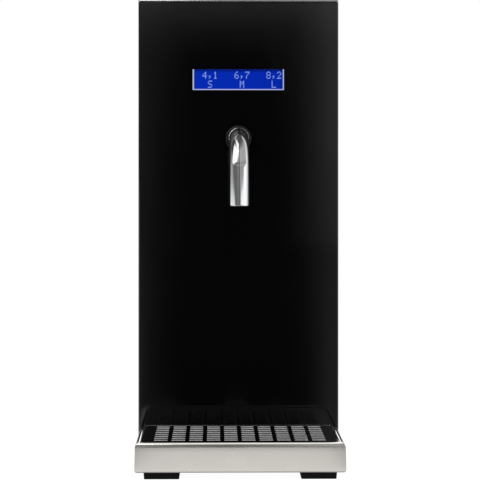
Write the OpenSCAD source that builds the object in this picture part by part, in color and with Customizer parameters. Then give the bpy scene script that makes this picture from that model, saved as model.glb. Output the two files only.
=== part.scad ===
// Counter-top milk dispenser: cooled chamber, hose pump, bent spout and drip tray.
// X runs to the right, the glass front faces -Y, Z is up. The origin is on the table, under the middle.

/* [Body] */
// Width across the side panels
body_w = 220; // [212:1:240]
// Depth from the tray apron to the hinge barrels
body_d = 460; // [450:1:500]
// Height from the table to the top of the lid
body_h = 502; // [496:1:540]
// Sheet thickness of the steel panels
sheet_t = 1.5; // [1:0.1:2]
// Thickness of the front glass
glass_t = 5; // [4:0.5:6]
// Chamfer along the long edges of the glass
glass_chamfer = 1.4; // [0.5:0.1:2]
// Distance of the glass's edge inside the outer face of the body
glass_inset = 0.2; // [0.1:0.1:1]

/* [Lid and hinges] */
// Thickness of the lid sheet
lid_t = 2; // [1.5:0.1:3]
// Gap between the lid sheet and the walls under it
lid_gap = 0.8; // [0.4:0.1:1.5]
// Height of the insulated block under the lid sheet
lid_block_h = 11.7; // [8:0.1:16]
// Radius of a hinge knuckle
hinge_r = 4; // [3:0.1:5]
// Diameter of a hinge pin
hinge_pin_d = 3; // [2:0.1:4]
// Width of a hinge
hinge_w = 36; // [28:1:50]
// Distance of the middle of each hinge from the side of the body
hinge_side = 50; // [36:1:60]
// Thickness of a hinge leaf
leaf_t = 1.2; // [0.8:0.1:1.6]

/* [Feet] */
// Height of a rubber foot
foot_h = 8; // [7:0.5:14]
// Width of a square foot where it meets the base
foot_w = 37; // [28:1:40]
// Distance of the middle of each foot from the side of the body
foot_side = 30; // [26:0.5:40]
// Distance of the front feet behind the apron
foot_front = 23.5; // [22:0.5:40]
// Distance of the rear feet ahead of the rear panel
foot_rear = 32; // [25:1:50]

/* [Display] */
// Width of the window in the glass
window_w = 100.9; // [90:0.1:112]
// Height of the window in the glass
window_h = 23.4; // [20:0.1:30]
// Distance of the middle of the window below the top of the lid
window_below = 87.9; // [77:0.1:102]
// Thickness of the clear lens
lens_t = 1.5; // [1:0.1:2]
// Width of the pale rim beside and below the screen
rim_w = 1.4; // [1:0.1:3]

/* [Spout] */
// Outer diameter of the spout tube
spout_d = 21; // [16:0.5:22]
// Wall of the spout tube
spout_wall = 1.5; // [1:0.1:2.5]
// Distance of the spout axis below the middle of the window
spout_below = 64.5; // [58:0.1:80]
// Distance from the glass to the middle of the outlet
spout_reach = 62; // [54:1:80]
// Radius of the bend at the tube's middle line
spout_bend_r = 32; // [24:1:36]
// Drop from the spout axis to the outlet
spout_drop = 73.1; // [60:0.1:120]
// Diameter of the black collar
collar_d = 28; // [26.5:0.5:36]
// Length of the collar
collar_l = 6; // [4:0.5:10]

/* [Drip tray] */
// Distance from the glass to the apron face
tray_reach = 140; // [134:1:160]
// Height of the tray rim above the table
rim_z = 35.4; // [32:0.1:44]
// Distance of the tray's side inside the outer face of the body
tray_inset = 5.7; // [4.4:0.1:12]
// Distance of the apron's widest part inside the outer face of the body
apron_inset = 2.35; // [0.5:0.05:2.8]
// Distance of the apron's top corners inside the outer face of the body
apron_top_inset = 4.15; // [3:0.05:4.5]
// Radius of the rolled top edge of the apron
roll_r = 5; // [4:0.1:8]
// Rise of the rolled front edge above the tray rim
front_rise = 2.4; // [1:0.1:4]
// Distance the apron hangs below the base pan
apron_drop = 0.7; // [0.2:0.1:2]
// Sheet thickness of the tray
tray_t = 1.2; // [0.8:0.1:1.5]
// Width of the rim round the grille
tray_lip = 2.3; // [2:0.1:4]
// Thickness of the grille plate
grille_t = 1.2; // [0.8:0.1:1.5]
// Columns of slots in the grille
slot_columns = 10; // [6:1:10]
// Rows of slots in the grille
slot_rows = 8; // [5:1:8]
// Distance from one column of slots to the next
slot_pitch_x = 18.2; // [16:0.1:19]
// Distance from one row of slots to the next
slot_pitch_y = 13; // [9:0.1:13.5]
// Length of a slot across the grille
slot_l = 13.3; // [8:0.1:15]
// Width of a slot from front to back
slot_w = 6.5; // [4:0.1:8]

/* [Cooled chamber] */
// Height of the insulated chamber outside
chamber_h = 352; // [300:1:356]
// Room for the pump and the boards between the glass face and the chamber
front_room = 90.1; // [90:0.1:116]
// Thickness of the insulation
foam_t = 18; // [14:0.5:24]
// Thickness of the liner
liner_t = 1.5; // [1:0.1:2]
// Height of the milk container
container_h = 278; // [200:1:284]
// Outer diameter of the suction lance and of the hoses
hose_d = 10; // [8:0.5:12]
// Bore of the hoses
hose_bore = 6.4; // [5:0.1:7]

/* [Pump] */
// Distance of the pump axis from the right side of the body
pump_side = 62; // [54:1:66]
// Distance of the pump axis below the spout axis
pump_below = 114.6; // [100:0.1:125]
// Radius of the track that the hose is squeezed against
track_r = 30.4; // [29:0.1:32]
// Thickness of the squeezed hose
squeezed_t = 3.1; // [2:0.1:4]
// Diameter of a roller
roller_d = 14; // [10:0.1:15]
// Diameter of a roller pin
roller_pin_d = 4; // [3:0.1:5]
// Depth of the pump head
head_d = 28; // [26:0.5:32]

/* [Cooling] */
// Height of the fan axis above the table
fan_z = 330; // [250:1:380]
// Side of the square fan frame
fan_size = 92; // [80:1:92]
// Depth of the fan
fan_t = 25; // [20:1:25]
// Height of the heat sink
sink_h = 35; // [20:1:40]
// Thickness of the Peltier module
peltier_t = 4; // [3:0.1:5]

/* [Hidden] */
$fn = 48;

// Clearances: a running fit, a piece in its cut-out, two bodies that move past each other
run_fit = 0.05;
seat_fit = 0.2;
body_gap = 0.3;
// Overshoot of a cut past the face that it opens
cut = 1;

// Planes of the body
x_out = body_w / 2;
x_in = x_out - sheet_t;
y_apron = -body_d / 2;
y_glass = y_apron + tray_reach;
y_carrier = y_glass + glass_t;
y_front_in = y_carrier + sheet_t;
hinge_y = body_d / 2 - hinge_r;
y_rear = hinge_y - hinge_r - 0.4;
y_rear_in = y_rear - sheet_t;
z_floor = foot_h + sheet_t;
z_lid = body_h - lid_t;
z_wall = z_lid - lid_gap;
hinge_z = z_lid - hinge_r;
z_rear = z_lid - leaf_t - 0.8;
flange_w = 10;

// Top deck, gasket and chamber
gasket_h = 2;
deck_t = 2;
z_deck = z_lid - lid_block_h - body_gap - gasket_h;
z_foam_top = z_deck - deck_t;
z_foam = z_foam_top - chamber_h;
y_sink = y_rear_in - fan_t - sink_h;
y_foam_back = y_sink - peltier_t;
y_foam = y_glass + front_room;
x_foam_in = x_in - foam_t;
x_liner_in = x_foam_in - liner_t;
y_liner = y_foam + foam_t + liner_t;
y_liner_back = y_foam_back - foam_t - liner_t;
z_liner = z_foam + foam_t + liner_t;

// Tray and its holder
tray_x = body_w / 2 - tray_inset;
apron_w = body_w - 2 * apron_inset;
apron_top_w = body_w - 2 * apron_top_inset;
apron_corner = 3;
bead_corner = 5;
curl_r = 2;
arc_steps = 8;
z_apron = foot_h - apron_drop;
z_bead = rim_z + front_rise;
roll_end = asin((roll_r - front_rise) / roll_r);
holder_x = tray_x + 1.2;
z_holder = rim_z - tray_t - 0.4;
runner_h = 1.4;
runner_x = 55;
z_tray = z_floor + runner_h + 0.1;
z_grille = rim_z - 0.2 - grille_t;
z_seat = z_grille - 0.1;
seat_x = tray_x - tray_lip;
y_tray_back = y_glass - 1.5;
y_pan_front = y_apron + 2 * roll_r - 1;
y_seat_front = y_pan_front + 10;
y_seat_back = y_tray_back - tray_lip;
slot_y = y_glass - 9 - slot_rows * slot_pitch_y / 2;
ledge_w = 3;

// Feet and fasteners
foot_x = x_out - foot_side;
foot_taper = 0.6;
foot_screw_d = 4;
foot_head_h = 1.2;
screw_d = 3;
screw_heights = [for (i = [0:3]) z_floor + 30 + i * (z_foam_top - z_floor - 100) / 3];

// Display stack and boards
window_z = body_h - window_below;
x_carrier = x_in - seat_fit;
carrier_fold = 12;
x_glass = x_out - glass_inset;
bezel_margin = 4;
lens_y = y_glass + 0.8;
y_board = y_carrier + 5;
board_t = 1.6;
screen_x = window_w / 2 - seat_fit - rim_w;
screen_low = window_z - window_h / 2 + seat_fit + rim_w;
screen_high = window_z + window_h / 2;
lcd_side = 11;
lcd_edge = 10;
lcd_board_w = window_w + 2 * lcd_side;
lcd_board_h = window_h + 2 * lcd_edge;
lcd_stud_d = 2.4;
chip_x = 18;
chip_d = 14;
touch_w = 90;
touch_h = 14;
touch_below = 24;
touch_z = window_z - window_h / 2 - touch_below;
control_side = 10.5;
control_x = control_side - x_in;
control_w = 80;
control_z = 60;
control_h = 120;
y_control = y_front_in + 8;
control_stud_d = 3;
relay_x = 10;
relay_pitch = 22;
relay_z = 12;
relay_w = 18;
relay_d = 15;
capacitor_x = 34;
capacitor_z = 52;
capacitor_d = 14;
sink_bar_z = 76;
ribbon_x = -40;
ribbon_w = 16;
y_ribbon = y_control + board_t + 1.4;
z_ribbon = control_z + control_h - 4;
z_ribbon_top = window_z - lcd_board_h / 2 + 2;

// Spout
spout_z = window_z - spout_below;
y_spout = y_glass - spout_reach;
spout_outlet = spout_z - spout_drop;
spout_flange_t = 2;
spout_flange_d = spout_d + 4;
seal_t = 2;
nut_h = 8;
tail_l = 14;
tail_d = hose_bore - 2 * run_fit;
spout_thread_end = y_front_in + seal_t + nut_h + 4;
spout_root = spout_thread_end + 0.5;
spout_tail_end = spout_root + tail_l;

// Chamber fittings
gasket_in = 3;
gasket_out = 8;
container_w = 2 * x_liner_in - 12;
container_d = y_liner_back - y_liner - 12;
container_y = (y_liner + y_liner_back) / 2;
container_r = 12;
grommet_d = hose_d + 12;
lance_side = 29;
lance_x = x_liner_in - lance_side;
lance_z = z_foam_top - 29;
lance_y = y_liner + 42;
lance_bend_r = 18;
lance_foot = z_liner + 10;
lance_root = y_foam - 4.5;
lance_tail = lance_root - tail_l;
hose_sides = 8;
hose_steps = 20;
clamp_l = 8;
hose_straight = 8;
suction_pull = 42;
suction_rise = 62;
delivery_pull = 38;
delivery_rise = 28;

// Pump
pump_x = x_out - pump_side;
pump_z = spout_z - pump_below;
pump_y = y_front_in + 5.5;
tube_y = pump_y + head_d / 2;
pump_back = pump_y + head_d;
tube_w = 14.2;
tube_out_r = track_r - run_fit;
tube_in_r = tube_out_r - squeezed_t;
roller_at = tube_in_r - body_gap - roller_d / 2;
leg_x = tube_out_r - hose_d / 2;
leg_start = 20;
head_half = track_r + 5.6;
leg_top = pump_z + head_half + 4;
suction_leg = [pump_x + leg_x, tube_y, leg_top + 0.1];
delivery_leg = [pump_x - leg_x, tube_y, leg_top + 0.1];
bracket_t = 2;
cover_t = 2;
motor_boss_d = 12;
gear_case_d = 36;
gear_case_l = 18;
motor_d = 28;
motor_l = 20;
motor_cap_l = 3;
y_gear = pump_back + bracket_t;
y_motor = y_gear + gear_case_l;
bracket_fold = 22;
shaft_l = 12;
shaft_d = 6;
disc_t = 3;
rotor_y = pump_y + 0.5;
rotor_back = pump_back - 2.5;

// Cooling
cold_w = 60;
peltier_w = 40;
sink_w = 84;
sink_base = 5;
fin_t = 2;
fin_count = 11;
y_fan = y_rear_in - fan_t;
fan_screw_at = fan_size / 2 - 4.75;
fan_screw_d = 4;
fan_pin_d = 3;
hub_d = 38;
strut_t = 3;
wire_d = 2;
wire_y = y_rear + wire_d / 2 + 0.15;
lug_t = 1.5;
lug_d = 12;

// Mains fittings in the rear panel and the air slots
mains_z = 62;
inlet_side = 44;
inlet_x = inlet_side - x_out;
inlet_w = 27;
inlet_h = 20;
inlet_l = 20;
recess_x = 12;
recess_z = 8;
rocker_pitch = 36;
rocker_x = inlet_x + rocker_pitch;
rocker_w = 15;
rocker_h = 21;
key_w = 11;
key_r = 8.8;
key_y = y_rear - 1;
key_pin_d = 2.5;
key_swing = 20;
supply_w = 100;
supply_l = 160;
supply_h = 50;
supply_gap = 40;
y_supply = y_rear_in - supply_gap - supply_l;
supply_vent_at = 14;
supply_vent_pitch = 12;
vent_rows = 6;
vent_x = 14;
vent_z = 40;
vent_l = 34;
vent_h = 4;

// Hinges
hinge_x = x_out - hinge_side;
knuckle_w = hinge_w / 3;
leaf_l = 26;

// Block between two corners
module block(low, high) translate(low) cube(high - low);

// Round bar along Y from y0 to y1 round the point (x, z)
module bar_y(x, z, d, y0, y1) translate([x, y0, z]) rotate([-90, 0, 0]) cylinder(d = d, h = y1 - y0);

// Round bar along X from x0 to x1 round the point (y, z)
module bar_x(y, z, d, x0, x1) translate([x0, y, z]) rotate([0, 90, 0]) cylinder(d = d, h = x1 - x0);

// Plan with rounded corners, w by d, from four discs and two bars
module round_plan(w, d, r) {
    for (x = [-1, 1], y = [-1, 1]) translate([x * (w / 2 - r), y * (d / 2 - r)]) circle(r);
    square([w - 2 * r, d], center = true);
    square([w, d - 2 * r], center = true);
}

// Base: one pressed pan, floor under the body and a walled holder for the tray in front
module base_pan() color("silver") difference() {
    union() {
        block([-x_in, y_carrier, foot_h], [x_in, y_rear_in, z_floor]);
        block([-holder_x - sheet_t, y_apron + 4, foot_h], [holder_x + sheet_t, y_carrier, z_floor]);
        for (side = [0, 1]) mirror([side, 0, 0]) {
            block([holder_x, y_apron + 8, z_floor], [holder_x + sheet_t, y_glass - seat_fit, z_holder]);
            block([runner_x - 3, y_apron + 8, z_floor], [runner_x + 3, y_glass - 4, z_floor + runner_h]);
        }
    }
    at_feet() translate([0, 0, foot_h - cut]) cylinder(d = foot_screw_d + 0.3, h = sheet_t + 2 * cut);
}

// Repeats its children at the four feet
module at_feet() {
    for (x = [-foot_x, foot_x], y = [y_apron + foot_front, y_rear - foot_rear]) {
        translate([x, y, 0]) children();
    }
}

// Trapezium of a foot, carried through it from front to back
module foot_wedge() translate([0, foot_w / 2, 0]) rotate([90, 0, 0]) linear_extrude(foot_w) {
    polygon([
        [-foot_w / 2 + foot_taper, 0], [foot_w / 2 - foot_taper, 0],
        [foot_w / 2, foot_h], [-foot_w / 2, foot_h]
    ]);
}

// Square rubber foot, slightly narrower on the table, with a blind hole for its screw
module rubber_feet() color("#1b1b1d") at_feet() difference() {
    intersection() {
        foot_wedge();
        rotate([0, 0, 90]) foot_wedge();
    }
    translate([0, 0, 2]) cylinder(d = foot_screw_d + 2 * run_fit, h = foot_h);
}

// Low-headed screw from inside the pan into each foot
module foot_screws() color("gainsboro") at_feet() {
    translate([0, 0, 2.5]) cylinder(d = foot_screw_d, h = z_floor - 2.5);
    translate([0, 0, z_floor]) cylinder(d = 2 * foot_screw_d, h = foot_head_h);
}

// Side panel: folded sheet with a flange on the pan and one behind the rear panel
module side_panel() color("silver") difference() {
    union() {
        block([x_in, y_carrier, foot_h], [x_out, y_rear, z_wall]);
        block([x_in - flange_w, y_front_in + 16, z_floor], [x_in, y_rear_in - 3, z_floor + sheet_t]);
        block([x_in - flange_w, y_rear_in - sheet_t, z_floor + 4], [x_in, y_rear_in, z_foam_top - 6]);
    }
    for (z = screw_heights) {
        bar_y(x_in - flange_w / 2, z, screw_d + 0.2, y_rear_in - sheet_t - cut, y_rear_in + cut);
    }
}

module left_side_panel() mirror([1, 0, 0]) side_panel();

module right_side_panel() side_panel();

// Rear panel with the fan opening, the mains cut-outs, air slots and screw holes
module rear_panel() color("silver") difference() {
    block([-x_in + seat_fit, y_rear_in, foot_h], [x_in - seat_fit, y_rear, z_rear]);
    bar_y(0, fan_z, fan_size - 4, y_rear_in - cut, y_rear + cut);
    at_fan_screws() bar_y(0, 0, fan_screw_d + 0.4, y_rear_in - cut, y_rear + cut);
    for (x = [-1, 1], z = screw_heights) {
        bar_y(x * (x_in - flange_w / 2), z, screw_d + 0.2, y_rear_in - cut, y_rear + cut);
    }
    socket_block(inlet_x, inlet_w, inlet_h, y_rear_in - cut, y_rear + cut);
    socket_block(rocker_x, rocker_w, rocker_h, y_rear_in - cut, y_rear + cut);
    for (row = [0:vent_rows - 1], column = [0:1]) {
        translate([vent_x + column * (vent_l + 8), y_rear_in, vent_z + row * 10]) vent_slot();
    }
}

// Air slot with round ends, cut through the rear panel
module vent_slot() {
    block([0, -cut, -vent_h / 2], [vent_l - vent_h, sheet_t + cut, vent_h / 2]);
    for (x = [0, vent_l - vent_h]) bar_y(x, 0, vent_h, -cut, sheet_t + cut);
}

// Block across the mains height, w wide and h high, round the place x
module socket_block(x, w, h, y0, y1) {
    block([x - w / 2, y0, mains_z - h / 2], [x + w / 2, y1, mains_z + h / 2]);
}

// Steel plate behind the glass, folded back along both sides
module front_carrier() color("dimgray") difference() {
    union() {
        block([-x_carrier, y_carrier, z_floor], [x_carrier, y_front_in, z_wall - 1]);
        for (side = [0, 1]) mirror([side, 0, 0]) {
            block([x_carrier - sheet_t, y_front_in, z_floor + 4],
                  [x_carrier, y_front_in + carrier_fold, z_foam_top - 6]);
        }
    }
    window_block(bezel_margin + 0.5, y_carrier - cut, y_front_in + cut);
    block([-touch_w / 2 - 1, y_carrier - cut, touch_z - touch_h / 2 - 1],
          [touch_w / 2 + 1, y_front_in + cut, touch_z + touch_h / 2 + 1]);
    bar_y(0, spout_z, spout_d + 1, y_carrier - cut, y_front_in + cut);
}

// Block over the window, grown by a margin on every side
module window_block(margin, y0, y1) {
    block([-window_w / 2 - margin, y0, window_z - window_h / 2 - margin],
          [window_w / 2 + margin, y1, window_z + window_h / 2 + margin]);
}

// Black front glass with chamfered long edges, a window and a hole for the spout
module front_glass() color("#0b0a0d") difference() {
    translate([0, 0, z_floor + 0.5]) linear_extrude(z_wall - z_floor - 0.5) polygon([
        [-x_glass, y_carrier], [-x_glass, y_glass + glass_chamfer], [-x_glass + glass_chamfer, y_glass],
        [x_glass - glass_chamfer, y_glass], [x_glass, y_glass + glass_chamfer], [x_glass, y_carrier]
    ]);
    window_block(0, y_glass - cut, y_carrier + cut);
    bar_y(0, spout_z, spout_d + 1, y_glass - cut, y_carrier + cut);
}

// Clear window, set back a little from the face of the glass
module display_lens() color("lightskyblue", 0.5) window_block(-seat_fit, lens_y, lens_y + lens_t);

// Opening of the bezel: the pale rim shows beside and below it, not above it
module screen_block(clearance, y0, y1) {
    block([-screen_x + clearance, y0, screen_low + clearance],
          [screen_x - clearance, y1, screen_high - clearance]);
}

// Pale frame round the screen, with a flange behind the glass
module lcd_bezel() color("lavender") difference() {
    union() {
        window_block(-seat_fit, lens_y + lens_t, y_carrier);
        window_block(bezel_margin, y_carrier, y_board);
    }
    screen_block(0, lens_y + lens_t - cut, y_board + cut);
}

// Blue character screen and its back light
module lcd_screen() color("#0026a8") screen_block(seat_fit, lens_y + lens_t + seat_fit, y_board);

// Display board with its driver chips and the ribbon connector
module lcd_board() color("#1f5a35") {
    difference() {
        block([-lcd_board_w / 2, y_board, window_z - lcd_board_h / 2],
              [lcd_board_w / 2, y_board + board_t, window_z + lcd_board_h / 2]);
        at_lcd_corners() bar_y(0, 0, lcd_stud_d + 0.3, y_board - cut, y_board + board_t + cut);
    }
    for (x = [-chip_x, chip_x]) bar_y(x, window_z, chip_d, y_board + board_t, y_board + board_t + 2.5);
    block([ribbon_x - ribbon_w / 2 - 2, y_board + board_t, z_ribbon_top],
          [ribbon_x + ribbon_w / 2 + 2, y_ribbon + 3, z_ribbon_top + 8]);
}

module at_lcd_corners() {
    for (x = [-1, 1], z = [-1, 1]) {
        translate([x * (lcd_board_w / 2 - 3.5), 0, window_z + z * (lcd_board_h / 2 - 3.5)]) children();
    }
}

// Touch sensor strip, bonded to the back of the glass below the display
module touch_board() color("darkgreen") {
    block([-touch_w / 2, y_carrier, touch_z - touch_h / 2],
          [touch_w / 2, y_carrier + board_t, touch_z + touch_h / 2]);
}

// Control board with relays, capacitors, a heat sink bar and the ribbon connector
module control_board() color("#1f5a35") {
    difference() {
        block([control_x, y_control, control_z],
              [control_x + control_w, y_control + board_t, control_z + control_h]);
        at_control_corners() bar_y(0, 0, control_stud_d + 0.3, y_control - cut, y_control + board_t + cut);
    }
    translate([control_x, y_control + board_t, control_z]) {
        for (i = [0:2]) block([relay_x + relay_pitch * i, 0, relay_z],
                              [relay_x + relay_pitch * i + relay_w, relay_d, relay_z + relay_w]);
        for (i = [-1, 1]) bar_y(capacitor_x + i * relay_w * 2 / 3, capacitor_z, capacitor_d, 0, relay_w);
        block([relay_x + 2, 0, sink_bar_z], [control_w - relay_x - 6, relay_x, sink_bar_z + 4]);
    }
    block([ribbon_x - ribbon_w / 2 - 2, y_control + board_t, z_ribbon - 8],
          [ribbon_x + ribbon_w / 2 + 2, y_ribbon + 5, z_ribbon]);
}

module at_control_corners() {
    for (x = [5, control_w - 5], z = [5, control_h - 5]) {
        translate([control_x + x, 0, control_z + z]) children();
    }
}

// Standoff between the carrier and a board, with its stud and nut
module standoff(d, stud_d, y) {
    bar_y(0, 0, d, y_front_in, y);
    bar_y(0, 0, stud_d, y, y + board_t + 1.8);
    bar_y(0, 0, d - 0.6, y + board_t, y + board_t + 1.6);
}

module board_standoffs() color("goldenrod") {
    at_lcd_corners() standoff(5.5, lcd_stud_d, y_board);
    at_control_corners() standoff(6, control_stud_d, y_control);
}

// Flat ribbon from the display board down to the control board
module ribbon_cable() color("lightgray") {
    block([ribbon_x - ribbon_w / 2, y_ribbon, z_ribbon],
          [ribbon_x + ribbon_w / 2, y_ribbon + 1, z_ribbon_top]);
}

// Spout: one bent tube with a flange on the glass, a thread for the nut and a hose tail
module spout_tube() color("#d8dadd") difference() {
    union() {
        spout_path(spout_d, spout_thread_end);
        bar_y(0, spout_z, spout_flange_d, y_glass - spout_flange_t, y_glass);
        bar_y(0, spout_z, hose_bore, spout_thread_end, spout_tail_end);
    }
    spout_path(spout_d - 2 * spout_wall, spout_thread_end - 4);
    bar_y(0, spout_z, hose_bore - 2, spout_thread_end - 5, spout_tail_end + cut);
    translate([0, y_spout, spout_outlet - cut]) cylinder(d = spout_d - 2 * spout_wall, h = 2 * cut);
}

// Straight drop, quarter bend and straight run along the spout's middle line
module spout_path(d, y_end) {
    translate([0, y_spout, spout_outlet]) cylinder(d = d, h = spout_drop - spout_bend_r);
    translate([0, y_spout + spout_bend_r, spout_z - spout_bend_r]) rotate([90, 0, -90]) {
        rotate_extrude(angle = 90) translate([spout_bend_r, 0]) circle(d = d);
    }
    bar_y(0, spout_z, d, y_spout + spout_bend_r, y_end);
}

// Black collar over the spout's flange
module spout_collar() color("#141416") difference() {
    bar_y(0, spout_z, collar_d, y_glass - collar_l, y_glass);
    bar_y(0, spout_z, spout_d + 2 * run_fit, y_glass - collar_l - cut, y_glass + cut);
    bar_y(0, spout_z, spout_flange_d + 2 * run_fit, y_glass - spout_flange_t - run_fit, y_glass + cut);
}

// Rubber washer between the carrier and the nut
module spout_seal() color("#26262a") difference() {
    bar_y(0, spout_z, spout_d + 10, y_front_in, y_front_in + seal_t);
    bar_y(0, spout_z, spout_d + 2 * run_fit, y_front_in - cut, y_front_in + seal_t + cut);
}

// Six-sided nut that clamps the spout to the carrier
module spout_nut() color("goldenrod") difference() {
    translate([0, y_front_in + seal_t, spout_z]) rotate([-90, 0, 0]) {
        cylinder(d = spout_d + 14, h = nut_h, $fn = 6);
    }
    bar_y(0, spout_z, spout_d + 2 * run_fit, y_front_in + seal_t - cut, y_front_in + seal_t + nut_h + cut);
}

// Deck round the mouth of the chamber
module top_deck() color("gainsboro") difference() {
    block([-x_in, y_front_in, z_foam_top], [x_in, y_rear_in, z_deck]);
    block([-x_liner_in, y_liner, z_foam_top - cut], [x_liner_in, y_liner_back, z_deck + cut]);
}

// Soft seal on the deck, under the lid block
module lid_gasket() color("#3a3a3d") difference() {
    block([-x_liner_in - gasket_out, y_liner - gasket_out, z_deck],
          [x_liner_in + gasket_out, y_liner_back + gasket_out, z_deck + gasket_h]);
    block([-x_liner_in - gasket_in, y_liner - gasket_in, z_deck - cut],
          [x_liner_in + gasket_in, y_liner_back + gasket_in, z_deck + gasket_h + cut]);
}

// Open-topped liner, with holes for the grommet
module chamber_liner() color("whitesmoke") difference() {
    block([-x_foam_in, y_liner - liner_t, z_liner - liner_t],
          [x_foam_in, y_liner_back + liner_t, z_foam_top]);
    block([-x_liner_in, y_liner, z_liner], [x_liner_in, y_liner_back, z_foam_top + cut]);
    bar_y(lance_x, lance_z, grommet_d + 2 * run_fit, y_liner - liner_t - cut, y_liner + cut);
}

// Foam shell bonded between the side panels, open to the cold block at the back
module chamber_insulation() color("khaki") difference() {
    block([-x_in, y_foam, z_foam], [x_in, y_foam_back, z_foam_top]);
    block([-x_foam_in, y_foam + foam_t, z_foam + foam_t],
          [x_foam_in, y_foam_back - foam_t, z_foam_top + cut]);
    bar_y(lance_x, lance_z, grommet_d + 2 * run_fit, y_foam - cut, y_foam + foam_t + cut);
    block([-cold_w / 2 - seat_fit, y_foam_back - foam_t - cut, fan_z - cold_w / 2 - seat_fit],
          [cold_w / 2 + seat_fit, y_foam_back + cut, fan_z + cold_w / 2 + seat_fit]);
}

// Lift-out container with a rolled-out rim, standing on the floor of the liner
module milk_container() color("white") difference() {
    union() {
        translate([0, container_y, z_liner]) linear_extrude(container_h) {
            round_plan(container_w, container_d, container_r);
        }
        translate([0, container_y, z_liner + container_h - 3]) linear_extrude(3) {
            round_plan(container_w + 6, container_d + 6, container_r + 3);
        }
    }
    translate([0, container_y, z_liner + 2]) linear_extrude(container_h) {
        round_plan(container_w - 4, container_d - 4, container_r - 2);
    }
}

// Bent steel pipe through the chamber wall and down to the bottom of the container
module suction_lance() color("#d8dadd") difference() {
    union() {
        lance_path(hose_d, y_foam - 4);
        bar_y(lance_x, lance_z, tail_d, lance_tail, y_foam - 4);
    }
    lance_path(hose_d - 2, y_foam);
    bar_y(lance_x, lance_z, tail_d - 2, lance_tail - cut, y_foam + cut);
    translate([lance_x, lance_y, lance_foot - cut]) cylinder(d = hose_d - 2, h = 2 * cut);
}

// Straight drop, quarter bend and straight run along the lance's middle line
module lance_path(d, y_start) {
    translate([lance_x, lance_y, lance_foot]) cylinder(d = d, h = lance_z - lance_bend_r - lance_foot);
    translate([lance_x, lance_y - lance_bend_r, lance_z - lance_bend_r]) rotate([90, 0, 90]) {
        rotate_extrude(angle = 90) translate([lance_bend_r, 0]) circle(d = d);
    }
    bar_y(lance_x, lance_z, d, y_start, lance_y - lance_bend_r);
}

// Rubber grommet round the lance in the chamber wall
module wall_grommet() color("#2b2b2e") difference() {
    union() {
        bar_y(lance_x, lance_z, grommet_d, y_foam, y_liner);
        bar_y(lance_x, lance_z, grommet_d + 6, y_foam - 2, y_foam);
    }
    bar_y(lance_x, lance_z, hose_d + 2 * run_fit, y_foam - 2 - cut, y_liner + cut);
}

// Point on a cubic curve with the end points a and d, drawn towards b and c
function curve_at(a, b, c, d, t) =
    pow(1 - t, 3) * a + 3 * pow(1 - t, 2) * t * b + 3 * (1 - t) * t * t * c + pow(t, 3) * d;

function unit(v) = v / norm(v);

// Direction of a route at point i
function heading(route, i) = unit(route[min(i + 1, len(route) - 1)] - route[max(i - 1, 0)]);

// Corners of one ring across a route: circle of radius r, square to the heading
function hose_ring(route, i, r) = let (
    along = heading(route, i),
    across = unit([1, 0, 0] - along[0] * along),
    up = cross(along, across)
) [
    for (k = [0:hose_sides - 1]) let (turn = 360 * k / hose_sides)
    route[i] + r * (cos(turn) * across + sin(turn) * up)
];

// Two triangles for each side of a wall between ring i and the next, counted from a first point
function wall_faces(first, rings, flip) = [
    for (i = [0:rings - 2], k = [0:hose_sides - 1]) let (
        a = first + i * hose_sides + k,
        b = first + i * hose_sides + (k + 1) % hose_sides,
        c = a + hose_sides,
        d = b + hose_sides
    ) each flip ? [[a, b, d], [a, d, c]] : [[a, d, b], [a, c, d]]
];

// Flat ring that joins the outer and the inner wall at one end
function end_faces(outer, inner, flip) = [
    for (k = [0:hose_sides - 1]) let (
        next = (k + 1) % hose_sides,
        a = outer + k,
        b = outer + next,
        c = inner + k,
        d = inner + next
    ) each flip ? [[a, d, b], [a, c, d]] : [[a, b, d], [a, d, c]]
];

// Hose with a bore, swept along a route
module hose(route) {
    rings = len(route);
    bore_r = hose_bore / 2 / cos(180 / hose_sides);
    inner = rings * hose_sides;
    polyhedron(
        points = concat(
            [for (i = [0:rings - 1]) each hose_ring(route, i, hose_d / 2)],
            [for (i = [0:rings - 1]) each hose_ring(route, i, bore_r)]
        ),
        faces = concat(
            wall_faces(0, rings, false),
            wall_faces(inner, rings, true),
            end_faces(0, inner, false),
            end_faces(inner - hose_sides, 2 * inner - hose_sides, true)
        )
    );
}

// Route over a tail of length tail_l, then a curve that ends straight on a pump leg
function hose_route(root, along, leg, pull_tail, pull_leg) = let (
    start = root + tail_l * along,
    end = leg + [0, 0, hose_straight]
) concat([root], [
    for (i = [0:hose_steps])
    curve_at(start, start + pull_tail * along, end + [0, 0, pull_leg], end, i / hose_steps)
], [leg]);

// Hose from the lance down to the right leg of the pump
module suction_hose() color("#e9e6df") {
    hose(hose_route([lance_x, lance_root, lance_z], [0, -1, 0], suction_leg, suction_pull, suction_rise));
}

// Hose from the left leg of the pump up to the tail of the spout
module delivery_hose() color("#e9e6df") {
    hose(hose_route([0, spout_root, spout_z], [0, 1, 0], delivery_leg, delivery_pull, delivery_rise));
}

// Clamp rings over the two tails, and sleeves where the hoses meet the pump tube
module hose_clamps() color("silver") {
    tail_clamp(0, spout_z, spout_root + 3);
    tail_clamp(lance_x, lance_z, lance_root - 3 - clamp_l);
    for (side = [-1, 1]) translate([pump_x + side * leg_x, tube_y, leg_top - 3]) difference() {
        cylinder(d = hose_d + 3, h = 10);
        translate([0, 0, -cut]) cylinder(d = hose_d + 4 * run_fit, h = 10 + 2 * cut);
    }
}

module tail_clamp(x, z, y) difference() {
    bar_y(x, z, hose_d + 3, y, y + clamp_l);
    bar_y(x, z, hose_d + 4 * run_fit, y - cut, y + clamp_l + cut);
}

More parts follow.
